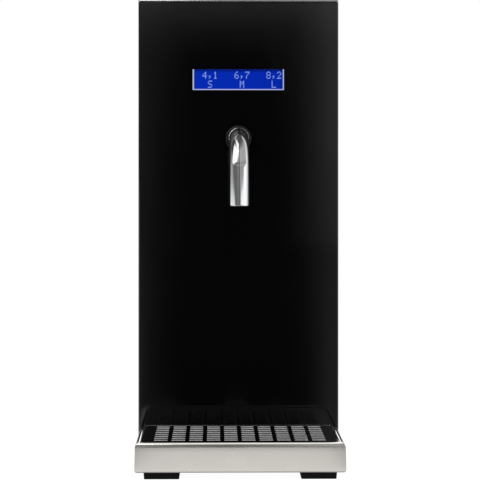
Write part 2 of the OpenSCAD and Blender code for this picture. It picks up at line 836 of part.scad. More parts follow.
// Bracket: plate behind the pump head, folded against the right side panel
module pump_bracket() color("silver") difference() {
    union() {
        block([pump_x - head_half, pump_back, pump_z - head_half],
              [x_in, pump_back + bracket_t, pump_z + head_half]);
        block([x_in - bracket_t, pump_back + bracket_t, pump_z - head_half],
              [x_in, pump_back + bracket_fold, pump_z + head_half]);
    }
    bar_y(pump_x, pump_z, motor_boss_d + 2 * run_fit, pump_back - cut, pump_back + bracket_t + cut);
}

// Gear motor: boss in the bracket, gear case, motor can and end cap, with a bearing bore
module pump_motor() color("#55585c") difference() {
    union() {
        bar_y(pump_x, pump_z, motor_boss_d, pump_back, pump_back + bracket_t);
        bar_y(pump_x, pump_z, gear_case_d, y_gear, y_motor);
        bar_y(pump_x, pump_z, motor_d, y_motor, y_motor + motor_l);
        bar_y(pump_x, pump_z, motor_boss_d, y_motor + motor_l, y_motor + motor_l + motor_cap_l);
    }
    bar_y(pump_x, pump_z, shaft_d + 2 * run_fit, pump_back - cut, y_gear + shaft_l + 2);
}

// Profile of the space in the pump head: the track below, straight walls above
module track_profile() {
    circle(track_r, $fn = 96);
    translate([-track_r, 0]) square([2 * track_r, leg_start]);
}

// Pump head with the track, a back wall and two holes for the legs of the tube
module pump_housing() color("#e4e4e0") difference() {
    block([pump_x - head_half, pump_y, pump_z - head_half],
          [pump_x + head_half, pump_back, pump_z + head_half]);
    translate([pump_x, pump_back - 2, pump_z]) rotate([90, 0, 0]) linear_extrude(head_d) track_profile();
    bar_y(pump_x, pump_z, motor_boss_d, pump_back - 2 - cut, pump_back + cut);
    for (side = [-1, 1]) translate([pump_x + side * leg_x, tube_y, pump_z + leg_start - cut]) {
        cylinder(d = hose_d + 2 * run_fit, h = head_half);
    }
}

// Clear cover over the pump head
module pump_cover() color("lightblue", 0.6) {
    block([pump_x - head_half, pump_y - cover_t, pump_z - head_half],
          [pump_x + head_half, pump_y, pump_z + head_half]);
}

// Pump tube: squeezed flat along the track, round in its two legs
module pump_tube() color("#f2efe8") {
    translate([pump_x, tube_y, pump_z]) rotate([90, 0, 0]) {
        rotate_extrude(angle = -180, $fn = 96) {
            translate([tube_in_r, -tube_w / 2]) square([squeezed_t, tube_w]);
        }
    }
    for (side = [0, 1]) translate([pump_x, tube_y, pump_z]) mirror([side, 0, 0]) {
        block([tube_in_r, -tube_w / 2, 0], [tube_out_r, tube_w / 2, leg_start]);
        translate([leg_x, 0, leg_start]) difference() {
            cylinder(d = hose_d, h = leg_top - pump_z - leg_start);
            translate([0, 0, 2]) cylinder(d = hose_bore, h = leg_top - pump_z);
        }
    }
}

// Rotor: two discs, a hub, three roller pins and the drive shaft
module pump_rotor() color("#c9c9c4") {
    bar_y(pump_x, pump_z, 2 * roller_at + roller_pin_d + 5, rotor_y, rotor_y + disc_t);
    bar_y(pump_x, pump_z, 2 * roller_at + roller_pin_d + 5, rotor_back - disc_t, rotor_back);
    bar_y(pump_x, pump_z, 10, rotor_y, rotor_back);
    bar_y(pump_x, pump_z, shaft_d, rotor_back, y_gear + shaft_l);
    for (i = [0:2]) at_roller(i) bar_y(0, 0, roller_pin_d, rotor_y, rotor_back);
}

module at_roller(i) {
    turn = 120 * i - 90;
    translate([pump_x + roller_at * cos(turn), 0, pump_z + roller_at * sin(turn)]) children();
}

// Roller on its pin, between the two discs
module roller(i) color("white") at_roller(i) difference() {
    bar_y(0, 0, roller_d, rotor_y + disc_t + body_gap, rotor_back - disc_t - body_gap);
    bar_y(0, 0, roller_pin_d + 2 * run_fit, rotor_y, rotor_back);
}

module pump_roller_1() roller(0);

module pump_roller_2() roller(1);

module pump_roller_3() roller(2);

// Aluminium block that carries cold from the module through the foam to the liner
module cold_block() color("lightgray") {
    block([-cold_w / 2, y_foam_back - foam_t, fan_z - cold_w / 2],
          [cold_w / 2, y_foam_back, fan_z + cold_w / 2]);
}

module peltier_module() color("white") {
    block([-peltier_w / 2, y_foam_back, fan_z - peltier_w / 2],
          [peltier_w / 2, y_sink, fan_z + peltier_w / 2]);
}

// Finned heat sink between the module and the fan
module heat_sink() color("darkgray") {
    block([-sink_w / 2, y_sink, fan_z - sink_w / 2], [sink_w / 2, y_sink + sink_base, fan_z + sink_w / 2]);
    for (i = [0:fin_count - 1]) translate([-sink_w / 2 + i * (sink_w - fin_t) / (fin_count - 1), 0, 0]) {
        block([0, y_sink + sink_base, fan_z - sink_w / 2], [fin_t, y_sink + sink_h, fan_z + sink_w / 2]);
    }
}

module at_fan_screws() {
    for (x = [-1, 1], z = [-1, 1]) translate([x * fan_screw_at, 0, fan_z + z * fan_screw_at]) children();
}

// Fan frame with its bore, four struts, the motor seat and the fixed pin
module fan_frame() color("#202124") {
    difference() {
        block([-fan_size / 2, y_fan, fan_z - fan_size / 2], [fan_size / 2, y_rear_in, fan_z + fan_size / 2]);
        bar_y(0, fan_z, fan_size - 4, y_fan - cut, y_rear_in + cut);
        at_fan_screws() bar_y(0, 0, fan_screw_d + 0.4, y_fan - cut, y_rear_in + cut);
    }
    for (turn = [0, 90]) translate([0, y_fan + 0.5, fan_z]) rotate([0, turn, 0]) {
        block([-fan_size / 2 + 1, 0, -2], [fan_size / 2 - 1, strut_t - 1, 2]);
    }
    bar_y(0, fan_z, hub_d - 2, y_fan, y_fan + strut_t);
    bar_y(0, fan_z, fan_pin_d, y_fan + strut_t - cut, y_fan + fan_t - 4);
}

// Impeller: hub on the pin and seven pitched blades
module fan_impeller() color("#2a2b2f") difference() {
    union() {
        bar_y(0, fan_z, hub_d, y_fan + strut_t + body_gap, y_rear_in - 3);
        intersection() {
            bar_y(0, fan_z, fan_size - 6, y_fan + strut_t + 1, y_rear_in - 2);
            for (i = [0:6]) translate([0, y_fan + fan_t / 2 + 1, fan_z]) rotate([0, 360 / 7 * i, 0]) {
                translate([hub_d / 2 - 2, 0, 0]) rotate([38, 0, 0]) {
                    block([0, -0.8, -13], [fan_size / 2, 0.8, 13]);
                }
            }
        }
    }
    bar_y(0, fan_z, fan_pin_d + 2 * run_fit, y_fan, y_rear_in);
}

// Wire guard: rings on two crossed wires, with a lug at each screw
module fan_guard() color("#c4c6c9") {
    translate([0, wire_y + wire_d * 0.7, fan_z]) rotate([-90, 0, 0]) for (i = [1:5]) {
        rotate_extrude() translate([i * 8.4, 0]) circle(d = wire_d);
    }
    for (turn = [45, 135]) translate([0, wire_y, fan_z]) rotate([0, turn, 0]) {
        bar_x(0, 0, wire_d, -fan_screw_at * sqrt(2) + 4.6, fan_screw_at * sqrt(2) - 4.6);
    }
    at_fan_screws() difference() {
        bar_y(0, 0, lug_d, y_rear, y_rear + lug_t);
        bar_y(0, 0, fan_screw_d + 0.4, y_rear - cut, y_rear + lug_t + cut);
    }
}

// Power supply: a slotted steel box on the base
module power_supply() color("#b9bcc0") difference() {
    block([-supply_w / 2, y_supply, z_floor], [supply_w / 2, y_supply + supply_l, z_floor + supply_h]);
    for (i = [0:11]) translate([0, y_supply + supply_vent_at + supply_vent_pitch * i, 0]) {
        block([supply_vent_at - 4 - supply_w / 2, 0, z_floor + supply_h - 3],
              [supply_w / 2 - supply_vent_at + 4, 4, z_floor + supply_h + cut]);
    }
}

// Mains inlet: flanged socket with a deep recess and slots for its pins
module power_inlet() color("#17181a") difference() {
    union() {
        socket_block(inlet_x, inlet_w - 2 * seat_fit, inlet_h - 2 * seat_fit, y_rear - inlet_l, y_rear);
        socket_block(inlet_x, inlet_w + 5, inlet_h + 5, y_rear, y_rear + 2);
    }
    translate([inlet_x, y_rear + 2 + cut, mains_z]) rotate([90, 0, 0]) linear_extrude(inlet_l - 1 + cut) {
        polygon([
            [-recess_x, -recess_z], [recess_x, -recess_z], [recess_x, recess_z - 4],
            [recess_x - 4, recess_z], [-recess_x + 4, recess_z], [-recess_x, recess_z - 4]
        ]);
    }
    at_inlet_pins() {
        block([-1 - run_fit, y_rear - inlet_l - cut, -2 - run_fit], [1 + run_fit, y_rear, 2 + run_fit]);
    }
}

module at_inlet_pins() {
    for (i = [-1:1]) translate([inlet_x + i * 7, 0, mains_z - 1.5 + (i == 0 ? 3.5 : 0)]) children();
}

// Flat pins with a solder tab behind the socket
module inlet_pins() color("gainsboro") at_inlet_pins() {
    block([-1, y_rear - inlet_l - 7, -2], [1, y_rear - 4, 2]);
}

// Switch frame: flanged box, open to the back, with holes for the key's pivots
module rocker_frame() color("#17181a") difference() {
    union() {
        socket_block(rocker_x, rocker_w - 2 * seat_fit, rocker_h - 2 * seat_fit, y_rear - 14, y_rear);
        socket_block(rocker_x, rocker_w + 4, rocker_h + 4, y_rear, y_rear + 2);
    }
    socket_block(rocker_x, key_w + 2 * body_gap, 2 * key_r + 0.8, key_y - 9, y_rear + 2 + cut);
    bar_x(key_y, mains_z, key_pin_d + 2 * run_fit,
          rocker_x - rocker_w / 2 - cut, rocker_x + rocker_w / 2 + cut);
}

// Rocker key with two sloping faces, shown tipped to off, and its pivot pins
module rocker_key() color("#0f1012") {
    translate([rocker_x, key_y, mains_z]) rotate([0, -90, 0]) rotate(-key_swing / 2) {
        linear_extrude(key_w, center = true) intersection() {
            circle(key_r);
            polygon([
                [-key_r, -4], [key_r, -4], [key_r, 3.2 + key_r * tan(key_swing / 2)],
                [0, 3.2], [-key_r, 3.2 + key_r * tan(key_swing / 2)]
            ]);
        }
    }
    bar_x(key_y, mains_z, key_pin_d, rocker_x - rocker_w / 2 + 0.5, rocker_x + rocker_w / 2 - 0.5);
}

// Bore for a hinge pin, right through a hinge
module hinge_bore(x) {
    bar_x(hinge_y, hinge_z, hinge_pin_d + 2 * run_fit, x - hinge_w / 2 - cut, x + hinge_w / 2 + cut);
}

// Fixed leaf: plate on the rear panel with the two outer knuckles
module hinge_leaf_fixed(x) color("gainsboro") difference() {
    union() {
        block([x - hinge_w / 2, y_rear, hinge_z - leaf_l], [x + hinge_w / 2, y_rear + leaf_t, hinge_z]);
        bar_x(hinge_y, hinge_z, 2 * hinge_r, x - hinge_w / 2, x + hinge_w / 2);
    }
    block([x - knuckle_w / 2 - body_gap, y_rear - cut, hinge_z - hinge_r - 1],
          [x + knuckle_w / 2 + body_gap, hinge_y + hinge_r + cut, hinge_z + hinge_r + 1]);
    hinge_bore(x);
}

module hinge_leaf_fixed_left() hinge_leaf_fixed(-hinge_x);

module hinge_leaf_fixed_right() hinge_leaf_fixed(hinge_x);

// Moving leaf: plate under the lid sheet with the middle knuckle
module hinge_leaf_moving(x) color("gainsboro") difference() {
    union() {
        block([x - hinge_w / 2, hinge_y - leaf_l, z_lid - leaf_t], [x + hinge_w / 2, y_rear, z_lid]);
        block([x - knuckle_w / 2, y_rear - cut, z_lid - leaf_t], [x + knuckle_w / 2, hinge_y, z_lid]);
        bar_x(hinge_y, hinge_z, 2 * hinge_r, x - knuckle_w / 2, x + knuckle_w / 2);
    }
    hinge_bore(x);
}

module hinge_leaf_moving_left() hinge_leaf_moving(-hinge_x);

module hinge_leaf_moving_right() hinge_leaf_moving(hinge_x);

// Hinge pins with a head at each end
module hinge_pins() color("silver") for (x = [-hinge_x, hinge_x]) {
    bar_x(hinge_y, hinge_z, hinge_pin_d, x - hinge_w / 2, x + hinge_w / 2);
    for (end = [-1, 1]) translate([x + end * (hinge_w / 2 + 0.5), 0, 0]) {
        bar_x(hinge_y, hinge_z, hinge_pin_d + 1.6, -0.5, 0.5);
    }
}

// Lid sheet with rounded corners
module lid_plate() color("silver") {
    translate([0, (y_glass + y_rear) / 2, z_lid]) linear_extrude(lid_t) {
        round_plan(body_w, y_rear - y_glass, 2);
    }
}

// Insulated block under the lid sheet
module lid_inner() color("whitesmoke") {
    block([-x_liner_in - gasket_out, y_liner - gasket_out, z_lid - lid_block_h],
          [x_liner_in + gasket_out, y_liner_back + gasket_out, z_lid]);
}

// Points on an arc round c, from angle a to angle b
function arc(c, r, a, b) = [
    for (i = [0:arc_steps]) let (turn = a + (b - a) * i / arc_steps) c + r * [cos(turn), sin(turn)]
];

// Section of the apron: filled bead that stands above the rim, flat face and a curl under it
function apron_section() = concat(
    [[y_pan_front + tray_t, rim_z]],
    arc([y_apron + roll_r, z_bead - roll_r], roll_r, roll_end, 180),
    arc([y_apron + curl_r, z_apron + curl_r], curl_r, 180, 270),
    arc([y_apron + curl_r, z_apron + curl_r], curl_r - tray_t, 270, 180),
    [[y_apron + tray_t, z_bead - roll_r], [y_pan_front + tray_t, rim_z - tray_t]]
);

// Right half of the apron seen from the front: it widens downwards and has round corners
function apron_half() = concat(
    [[0, z_apron]],
    arc([apron_w / 2 - apron_corner, z_apron + apron_corner], apron_corner, -90, 0),
    arc([apron_top_w / 2 + 1 - bead_corner, z_bead - bead_corner], bead_corner, 0, 90),
    [[0, z_bead]]
);

// Drip tray: basin with a ledge for the grille, a rim and the rolled front apron
module drip_tray() color("#c9c6c0") {
    difference() {
        block([-tray_x, y_pan_front, z_tray], [tray_x, y_tray_back, rim_z]);
        block([-tray_x + tray_t, y_pan_front + tray_t, z_tray + tray_t],
              [tray_x - tray_t, y_tray_back - tray_t, z_seat - tray_t]);
        block([-seat_x + ledge_w, y_seat_front + ledge_w, z_seat - tray_t - cut],
              [seat_x - ledge_w, y_seat_back - ledge_w, rim_z + cut]);
        block([-seat_x, y_seat_front, z_seat], [seat_x, y_seat_back, rim_z + cut]);
    }
    intersection() {
        rotate([90, 0, 90]) linear_extrude(apron_w, center = true) polygon(apron_section());
        translate([0, y_pan_front + 2, 0]) rotate([90, 0, 0]) linear_extrude(2 * roll_r + 6) {
            polygon(apron_half());
            mirror([1, 0]) polygon(apron_half());
        }
    }
}

// Loose grille: flat plate with columns of slots
module drip_grille() color("#6f7072") difference() {
    block([-seat_x + body_gap, y_seat_front + body_gap, z_grille],
          [seat_x - body_gap, y_seat_back - body_gap, z_grille + grille_t]);
    for (i = [0:slot_columns - 1], j = [0:slot_rows - 1]) {
        x = (i - (slot_columns - 1) / 2) * slot_pitch_x;
        y = slot_y + (j - (slot_rows - 1) / 2) * slot_pitch_y;
        block([x - slot_l / 2, y - slot_w / 2, z_grille - cut],
              [x + slot_l / 2, y + slot_w / 2, z_grille + grille_t + cut]);
    }
}

// Round-headed screw that ends under its head at y
module panel_screw(d, y, l) {
    bar_y(0, 0, d, y - l, y);
    bar_y(0, 0, 2 * d, y, y + d * 0.6);
}

// Screws of the rear panel and of the fan
module panel_screws() color("gainsboro") {
    for (x = [-1, 1], z = screw_heights) {
        translate([x * (x_in - flange_w / 2), 0, z]) panel_screw(screw_d, y_rear, 6);
    }
    at_fan_screws() panel_screw(fan_screw_d, y_rear + lug_t, 10);
}

base_pan();
rubber_feet();
foot_screws();
left_side_panel();
right_side_panel();
rear_panel();
front_carrier();
front_glass();
display_lens();
lcd_screen();
lcd_bezel();
lcd_board();
touch_board();
control_board();
board_standoffs();
ribbon_cable();
spout_tube();
spout_collar();
spout_seal();
spout_nut();
top_deck();
lid_gasket();
chamber_liner();
chamber_insulation();
milk_container();
suction_lance();
wall_grommet();
suction_hose();
delivery_hose();
hose_clamps();
pump_bracket();
pump_motor();
pump_housing();
pump_cover();
pump_tube();
pump_rotor();
pump_roller_1();
pump_roller_2();
pump_roller_3();
cold_block();
peltier_module();
heat_sink();
fan_frame();
fan_impeller();
fan_guard();
power_supply();
power_inlet();
inlet_pins();
rocker_frame();
rocker_key();
hinge_leaf_fixed_left();
hinge_leaf_fixed_right();
hinge_leaf_moving_left();
hinge_leaf_moving_right();
hinge_pins();
lid_plate();
lid_inner();
drip_tray();
drip_grille();
panel_screws();
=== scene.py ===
import bmesh
import bpy
import numpy as np
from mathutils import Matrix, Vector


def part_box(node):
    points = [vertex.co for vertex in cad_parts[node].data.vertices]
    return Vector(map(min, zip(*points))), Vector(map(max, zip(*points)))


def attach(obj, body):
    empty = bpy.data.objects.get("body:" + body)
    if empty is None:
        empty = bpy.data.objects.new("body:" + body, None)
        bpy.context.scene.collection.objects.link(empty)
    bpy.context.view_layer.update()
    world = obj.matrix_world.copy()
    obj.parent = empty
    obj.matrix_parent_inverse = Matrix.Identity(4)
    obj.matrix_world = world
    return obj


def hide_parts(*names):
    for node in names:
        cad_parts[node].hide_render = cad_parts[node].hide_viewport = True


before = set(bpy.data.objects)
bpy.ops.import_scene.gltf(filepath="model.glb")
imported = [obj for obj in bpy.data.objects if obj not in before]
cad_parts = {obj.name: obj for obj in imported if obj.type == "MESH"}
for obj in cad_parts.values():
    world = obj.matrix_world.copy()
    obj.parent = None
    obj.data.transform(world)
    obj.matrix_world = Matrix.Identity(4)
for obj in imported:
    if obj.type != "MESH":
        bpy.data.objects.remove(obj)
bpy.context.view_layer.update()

# Base pan
# One folded stainless sheet: the floor of the body and, ahead of the glass, the shallow holder
# for the drip tray. Belt-brushed before folding, so the scratches run from front to back.
MM = 0.001


def linear(code):
    """sRGB hex as linear RGBA: ((c + 0.055) / 1.055) ** 2.4 for a channel, c / 12.92 where it is dark."""
    c = np.array([int(code[i:i + 2], 16) for i in (1, 3, 5)]) / 255
    return (*np.where(c > 0.04045, ((c + 0.055) / 1.055) ** 2.4, c / 12.92).tolist(), 1.0)


def add(tree, kind, inputs=(), **settings):
    """One shader node. Settings are its properties; inputs are its sockets by name or number, each with a
    value or a socket to link from. A Mix of colours has its two colours in 6 and 7 and its result in 2."""
    node = tree.nodes.new("ShaderNode" + kind)
    for key, value in settings.items():
        setattr(node, key, value)
    for key, value in dict(inputs).items():
        if isinstance(value, bpy.types.NodeSocket):
            tree.links.new(value, node.inputs[key])
        else:
            node.inputs[key].default_value = value
    return node


def new_finish(name):
    """An empty material, with its tree and the Object coordinates that its patterns are laid on."""
    material = bpy.data.materials.new(name)
    material.use_nodes = True
    tree = material.node_tree
    tree.nodes.clear()
    return material, tree, add(tree, "TexCoord").outputs["Object"]


def per_metre(*sizes_mm):
    """Scale of a pattern whose features have these sizes in mm."""
    return tuple(1000 / size for size in sizes_mm)


def worked_metal(name, colour, rough, grain_mm, uneven=0.08, depth_mm=0.02, broad_mm=45):
    """Metal with the grain of its working: noise stretched to the grain's sizes shades, roughens and scores
    it, and a broad soft noise leaves the faint unevenness of rolling and handling."""
    material, tree, place = new_finish(name)
    lay = add(tree, "Mapping", {"Vector": place, "Scale": per_metre(*grain_mm)})
    grain = add(tree, "TexNoise", {"Vector": lay.outputs[0], "Scale": 1.0, "Detail": 4.0, "Roughness": 0.65})
    broad = add(tree, "TexNoise", {"Vector": place, "Scale": 1000 / broad_mm, "Detail": 2.0})
    both = add(tree, "Math", {0: grain.outputs["Fac"], 1: broad.outputs["Fac"]}, operation="ADD")
    light = np.array(linear(colour))
    dark = (*(light[:3] * (1 - 2 * uneven)).tolist(), 1.0)
    shade = add(tree, "Mix", {0: grain.outputs["Fac"], 6: dark, 7: tuple(light)}, data_type="RGBA")
    matt = add(tree, "MapRange", {"Value": both.outputs[0], "From Min": 0.6, "From Max": 1.4,
                                  "To Min": rough * 0.8, "To Max": rough * 1.2})
    score = add(tree, "Bump", {"Height": grain.outputs["Fac"], "Strength": 0.25, "Distance": depth_mm * MM})
    surface = add(tree, "BsdfPrincipled", {
        "Base Color": shade.outputs[2], "Metallic": 1.0, "Roughness": matt.outputs[0],
        "Normal": score.outputs[0]})
    add(tree, "OutputMaterial", {"Surface": surface.outputs[0]})
    return material


def dress(material, *names):
    """Puts one finish on every material slot of the named CAD nodes."""
    for name in names:
        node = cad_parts[name]
        if not node.material_slots:
            node.data.materials.append(material)
        for slot in node.material_slots:
            slot.material = material


# The real scratches are about 0.1 mm apart; here and on every brushed sheet they are drawn 0.9 mm apart,
# so that they show.
pan_steel = worked_metal("brushed_stainless_along_depth", "#C6C5C2", 0.34, (0.9, 70, 0.9))
dress(pan_steel, "base_pan")

# Rubber feet
# Four square moulded EPDM pads with eased edges, each held by a low-headed screw from inside the pan.
# The mould was spark-eroded, so the rubber is matt with a fine pebble.


def rounded(corners, radii, steps=5):
    """A line of corners with an arc of the given radius at each inner one: the arc's middle lies on the
    corner's bisector at r / sin(half angle), and its points turn evenly from one leg to the other."""
    p = np.asarray(corners, float)
    r = np.broadcast_to(np.asarray(radii, float), len(p) - 2).clip(1e-4)[:, None]
    back, on = p[:-2] - p[1:-1], p[2:] - p[1:-1]
    back /= np.linalg.norm(back, axis=1, keepdims=True)
    on /= np.linalg.norm(on, axis=1, keepdims=True)
    half = np.arccos(np.clip((back * on).sum(1, keepdims=True), -0.99999, 0.99999)) / 2
    middle = back + on
    middle /= np.linalg.norm(middle, axis=1, keepdims=True)
    centre = p[1:-1] + middle * r / np.sin(half)
    first = (p[1:-1] + back * r / np.tan(half) - centre)[:, None]
    last = (p[1:-1] + on * r / np.tan(half) - centre)[:, None]
    sweep = (np.pi - 2 * half)[:, None]
    t = np.linspace(0, 1, steps)[None, :, None]
    arc = centre[:, None] + (np.sin((1 - t) * sweep) * first + np.sin(t * sweep) * last) / np.sin(sweep)
    return np.concatenate([p[:1], arc.reshape(-1, 2), p[-1:]])


def make_piece(name, body, material, patches, replaces=(), sharp=35, bevel=0.0):
    """Joins grids of points (rows, columns, 3), in mm, into one mesh: each cell is a face, points that meet
    are welded, cells that a pole or a seam flattens are dropped, and the faces are turned outwards."""
    sizes = np.array([grid.shape[0] * grid.shape[1] for grid in patches])
    starts = np.concatenate([[0], np.cumsum(sizes)[:-1]])
    faces = []
    for grid, start, size in zip(patches, starts, sizes):
        index = start + np.arange(size).reshape(grid.shape[:2])
        corners = [index[:-1, :-1], index[:-1, 1:], index[1:, 1:], index[1:, :-1]]
        faces.append(np.stack(corners, -1).reshape(-1, 4))
    points = np.concatenate([grid.reshape(-1, 3) for grid in patches]) * MM
    mesh = bpy.data.meshes.new(name)
    mesh.from_pydata(points.tolist(), [], np.concatenate(faces).tolist())
    work = bmesh.new()
    work.from_mesh(mesh)
    bmesh.ops.remove_doubles(work, verts=work.verts, dist=2e-6)
    bmesh.ops.dissolve_degenerate(work, edges=work.edges, dist=2e-6)
    bmesh.ops.recalc_face_normals(work, faces=work.faces)
    work.to_mesh(mesh)
    work.free()
    mesh.shade_smooth()
    mesh.set_sharp_from_angle(angle=np.radians(sharp))
    mesh.materials.append(material)
    piece = bpy.data.objects.new(name, mesh)
    bpy.context.scene.collection.objects.link(piece)
    if bevel:
        edge = piece.modifiers.new("eased_edges", "BEVEL")
        edge.width = bevel * MM
        edge.segments = 2
        edge.limit_method = "ANGLE"
        edge.angle_limit = np.radians(sharp)
    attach(piece, body)
    if replaces:
        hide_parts(*replaces)
    return piece


def moulded(name, colour, rough, pebble_mm, depth_mm=0.03, uneven=0.12, broad_mm=30, **extra):
    """Moulded plastic or rubber: a pebble of the mould's own texture, and a broad noise for uneven gloss.
    Extra sockets of the shader are given by name."""
    material, tree, place = new_finish(name)
    pebble = add(tree, "TexNoise", {"Vector": place, "Scale": 1000 / pebble_mm, "Detail": 2.0})
    broad = add(tree, "TexNoise", {"Vector": place, "Scale": 1000 / broad_mm, "Detail": 3.0})
    light = np.array(linear(colour))
    dark = (*(light[:3] * (1 - uneven)).tolist(), 1.0)
    shade = add(tree, "Mix", {0: broad.outputs["Fac"], 6: dark, 7: tuple(light)}, data_type="RGBA")
    gloss = add(tree, "MapRange", {"Value": broad.outputs["Fac"], "From Min": 0.3, "From Max": 0.7,
                                   "To Min": rough * 0.88, "To Max": rough * 1.12})
    skin = add(tree, "Bump", {"Height": pebble.outputs["Fac"], "Strength": 0.4, "Distance": depth_mm * MM})
    surface = add(tree, "BsdfPrincipled", {
        "Base Color": shade.outputs[2], "Roughness": gloss.outputs[0], "Normal": skin.outputs[0], **extra})
    add(tree, "OutputMaterial", {"Surface": surface.outputs[0]})
    return material


def box_mm(name):
    """Lowest and highest corner of a CAD node, in mm."""
    return [np.array(corner) * 1000 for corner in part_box(name)]


def plan_levels(levels, steps=7):
    """Rounded rectangles stacked into a surface. Each level gives the low and high x, the low and high y,
    the corner radius and the height; a corner's arc is its middle plus radius times (cosine, sine)."""
    x0, x1, y0, y1, r, z = np.asarray(levels, float).T[..., None, None]
    quarter = np.arange(4)[None, :, None] * np.pi / 2
    a = quarter + np.linspace(0, np.pi / 2, steps)[None, None, :]
    right = np.array([1, 0, 0, 1])[None, :, None]
    top = np.array([1, 1, 0, 0])[None, :, None]
    x = np.where(right, x1 - r, x0 + r) + r * np.cos(a)
    y = np.where(top, y1 - r, y0 + r) + r * np.sin(a)
    loop = np.stack([x, y, z + 0 * x], -1).reshape(len(levels), -1, 3)
    return np.concatenate([loop, loop[:, :1]], 1)


# The real pebble is about 0.2 mm across; on every moulding it is drawn coarser, so that it shows.
black_rubber = moulded("black_epdm_rubber", "#0D0C0E", 0.62, 0.8, **{"Specular IOR Level": 0.15})
feet_low, feet_high = box_mm("rubber_feet")
foot_half, foot_h, foot_taper, foot_corner_r = 18.5, feet_high[2], 0.6, 1.2
foot_hollow, foot_band = 0.5, 8.0
foot_wall = rounded([[foot_half - foot_band, foot_hollow], [foot_half - foot_band + 0.5, 0],
                     [foot_half - foot_taper, 0], [foot_half, foot_h], [foot_half - 12, foot_h]],
                    [0.2, 0.4, 0.4])
foot_profile = np.concatenate([[[0, foot_hollow]], foot_wall, [[0, foot_h]]])
foot_at = [(x, y) for x in (feet_low[0] + foot_half, feet_high[0] - foot_half)
           for y in (feet_low[1] + foot_half, feet_high[1] - foot_half)]
make_piece("moulded_feet", "chassis", black_rubber,
           [plan_levels([[x - w, x + w, y - w, y + w, min(w, foot_corner_r), z] for w, z in foot_profile])
            for x, y in foot_at], ["rubber_feet"])
# Zinc plating leaves the screws bright, with a faint mottle.
screw_steel = worked_metal("zinc_plated_screw_steel", "#C9CBCE", 0.28, (2, 2, 2), 0.06, 0.01)
dress(screw_steel, "foot_screws")

# Cooled chamber
# Rigid polyurethane foam blocks round a drawn stainless liner; a blow-moulded HDPE container stands in it.
# A bent stainless lance goes through a rubber grommet in the foam down to the container's floor.
foam, tree, place = new_finish("rigid_polyurethane_foam")
# Cut foam is matt and pitted. Its cells are about 0.4 mm across; they are drawn at 2 mm so that they show.
cells = add(tree, "TexVoronoi", {"Vector": place, "Scale": 1000 / 2})
tone = add(tree, "Mix", {0: cells.outputs["Distance"], 6: linear("#EFE6C6"), 7: linear("#DCCFA4")},
           data_type="RGBA")
pits = add(tree, "Bump", {"Height": cells.outputs["Distance"], "Strength": 0.6, "Distance": 0.3 * MM})
surface = add(tree, "BsdfPrincipled", {
    "Base Color": tone.outputs[2], "Roughness": 0.85, "Normal": pits.outputs[0]})
add(tree, "OutputMaterial", {"Surface": surface.outputs[0]})
dress(foam, "chamber_insulation")
# Drawing leaves long upright marks in the steel, and blow moulding a waxy, faintly pebbled skin on the HDPE.
dress(worked_metal("drawn_stainless_liner", "#CDCCC9", 0.3, (0.9, 0.9, 60)), "chamber_liner")
dress(moulded("natural_hdpe", "#EFEDE4", 0.38, 1.6, 0.05, 0.05), "milk_container")
dress(black_rubber, "wall_grommet")
dress(worked_metal("drawn_stainless_tube", "#D2D2D0", 0.2, (1.2, 1.2, 40), 0.05), "suction_lance")

# Cooling
# A milled cold block and an extruded heat sink, finely lined aluminium, clamp a matt ceramic Peltier module.
# Behind the sink a moulded axial fan blows out through the rear panel; a bright chromed wire guard covers it.
dress(worked_metal("milled_aluminium", "#CFD1D3", 0.32, (1.5, 30, 1.5)), "cold_block")
dress(worked_metal("extruded_aluminium", "#C2C5C9", 0.36, (1.0, 1.0, 80)), "heat_sink")
dress(moulded("alumina_ceramic", "#E9E6DE", 0.55, 0.9), "peltier_module")
# The fan's ABS is satin black with the fine texture of its mould.
black_plastic = moulded("black_moulded_abs", "#141416", 0.42, 0.9)
dress(black_plastic, "fan_frame")

fan_low, fan_high = box_mm("fan_frame")
fan_z = (fan_low[2] + fan_high[2]) / 2
wheel_low, wheel_high = box_mm("fan_impeller")
wheel_y = (wheel_low[1] + wheel_high[1]) / 2
hub_r, bore_r, tip_r = 19.0, 1.55, (wheel_high[0] - wheel_low[0]) / 2
hub_inner, hub_outer = wheel_low[1] + 0.3, wheel_high[1] - 1.0
dish_r, dish_slope, dish_depth = 14.0, 1.5, 0.6
blade_count, blade_root, blade_half_t, blade_reach = 7, 1.2, 0.95, 9.2
hub_profile = rounded([[bore_r, hub_inner], [hub_r, hub_inner], [hub_r, hub_outer], [dish_r, hub_outer],
                       [dish_r - dish_slope, hub_outer - dish_depth], [bore_r, hub_outer - dish_depth]],
                      [0.4, 1.6, 0.5, 0.5])
hub_profile = np.concatenate([hub_profile, hub_profile[:1]])


def turned(profile, centre, steps=64):
    """A profile of (radius, depth) points carried once round an axis along Y through the centre:
    radius times cosine, depth, radius times sine."""
    t = np.linspace(0, 2 * np.pi, steps + 1)
    r, h = np.asarray(profile, float).T
    ring = np.stack([np.outer(r, np.cos(t)), np.outer(h, np.ones_like(t)), np.outer(r, np.sin(t))], -1)
    return ring + np.asarray(centre, float)


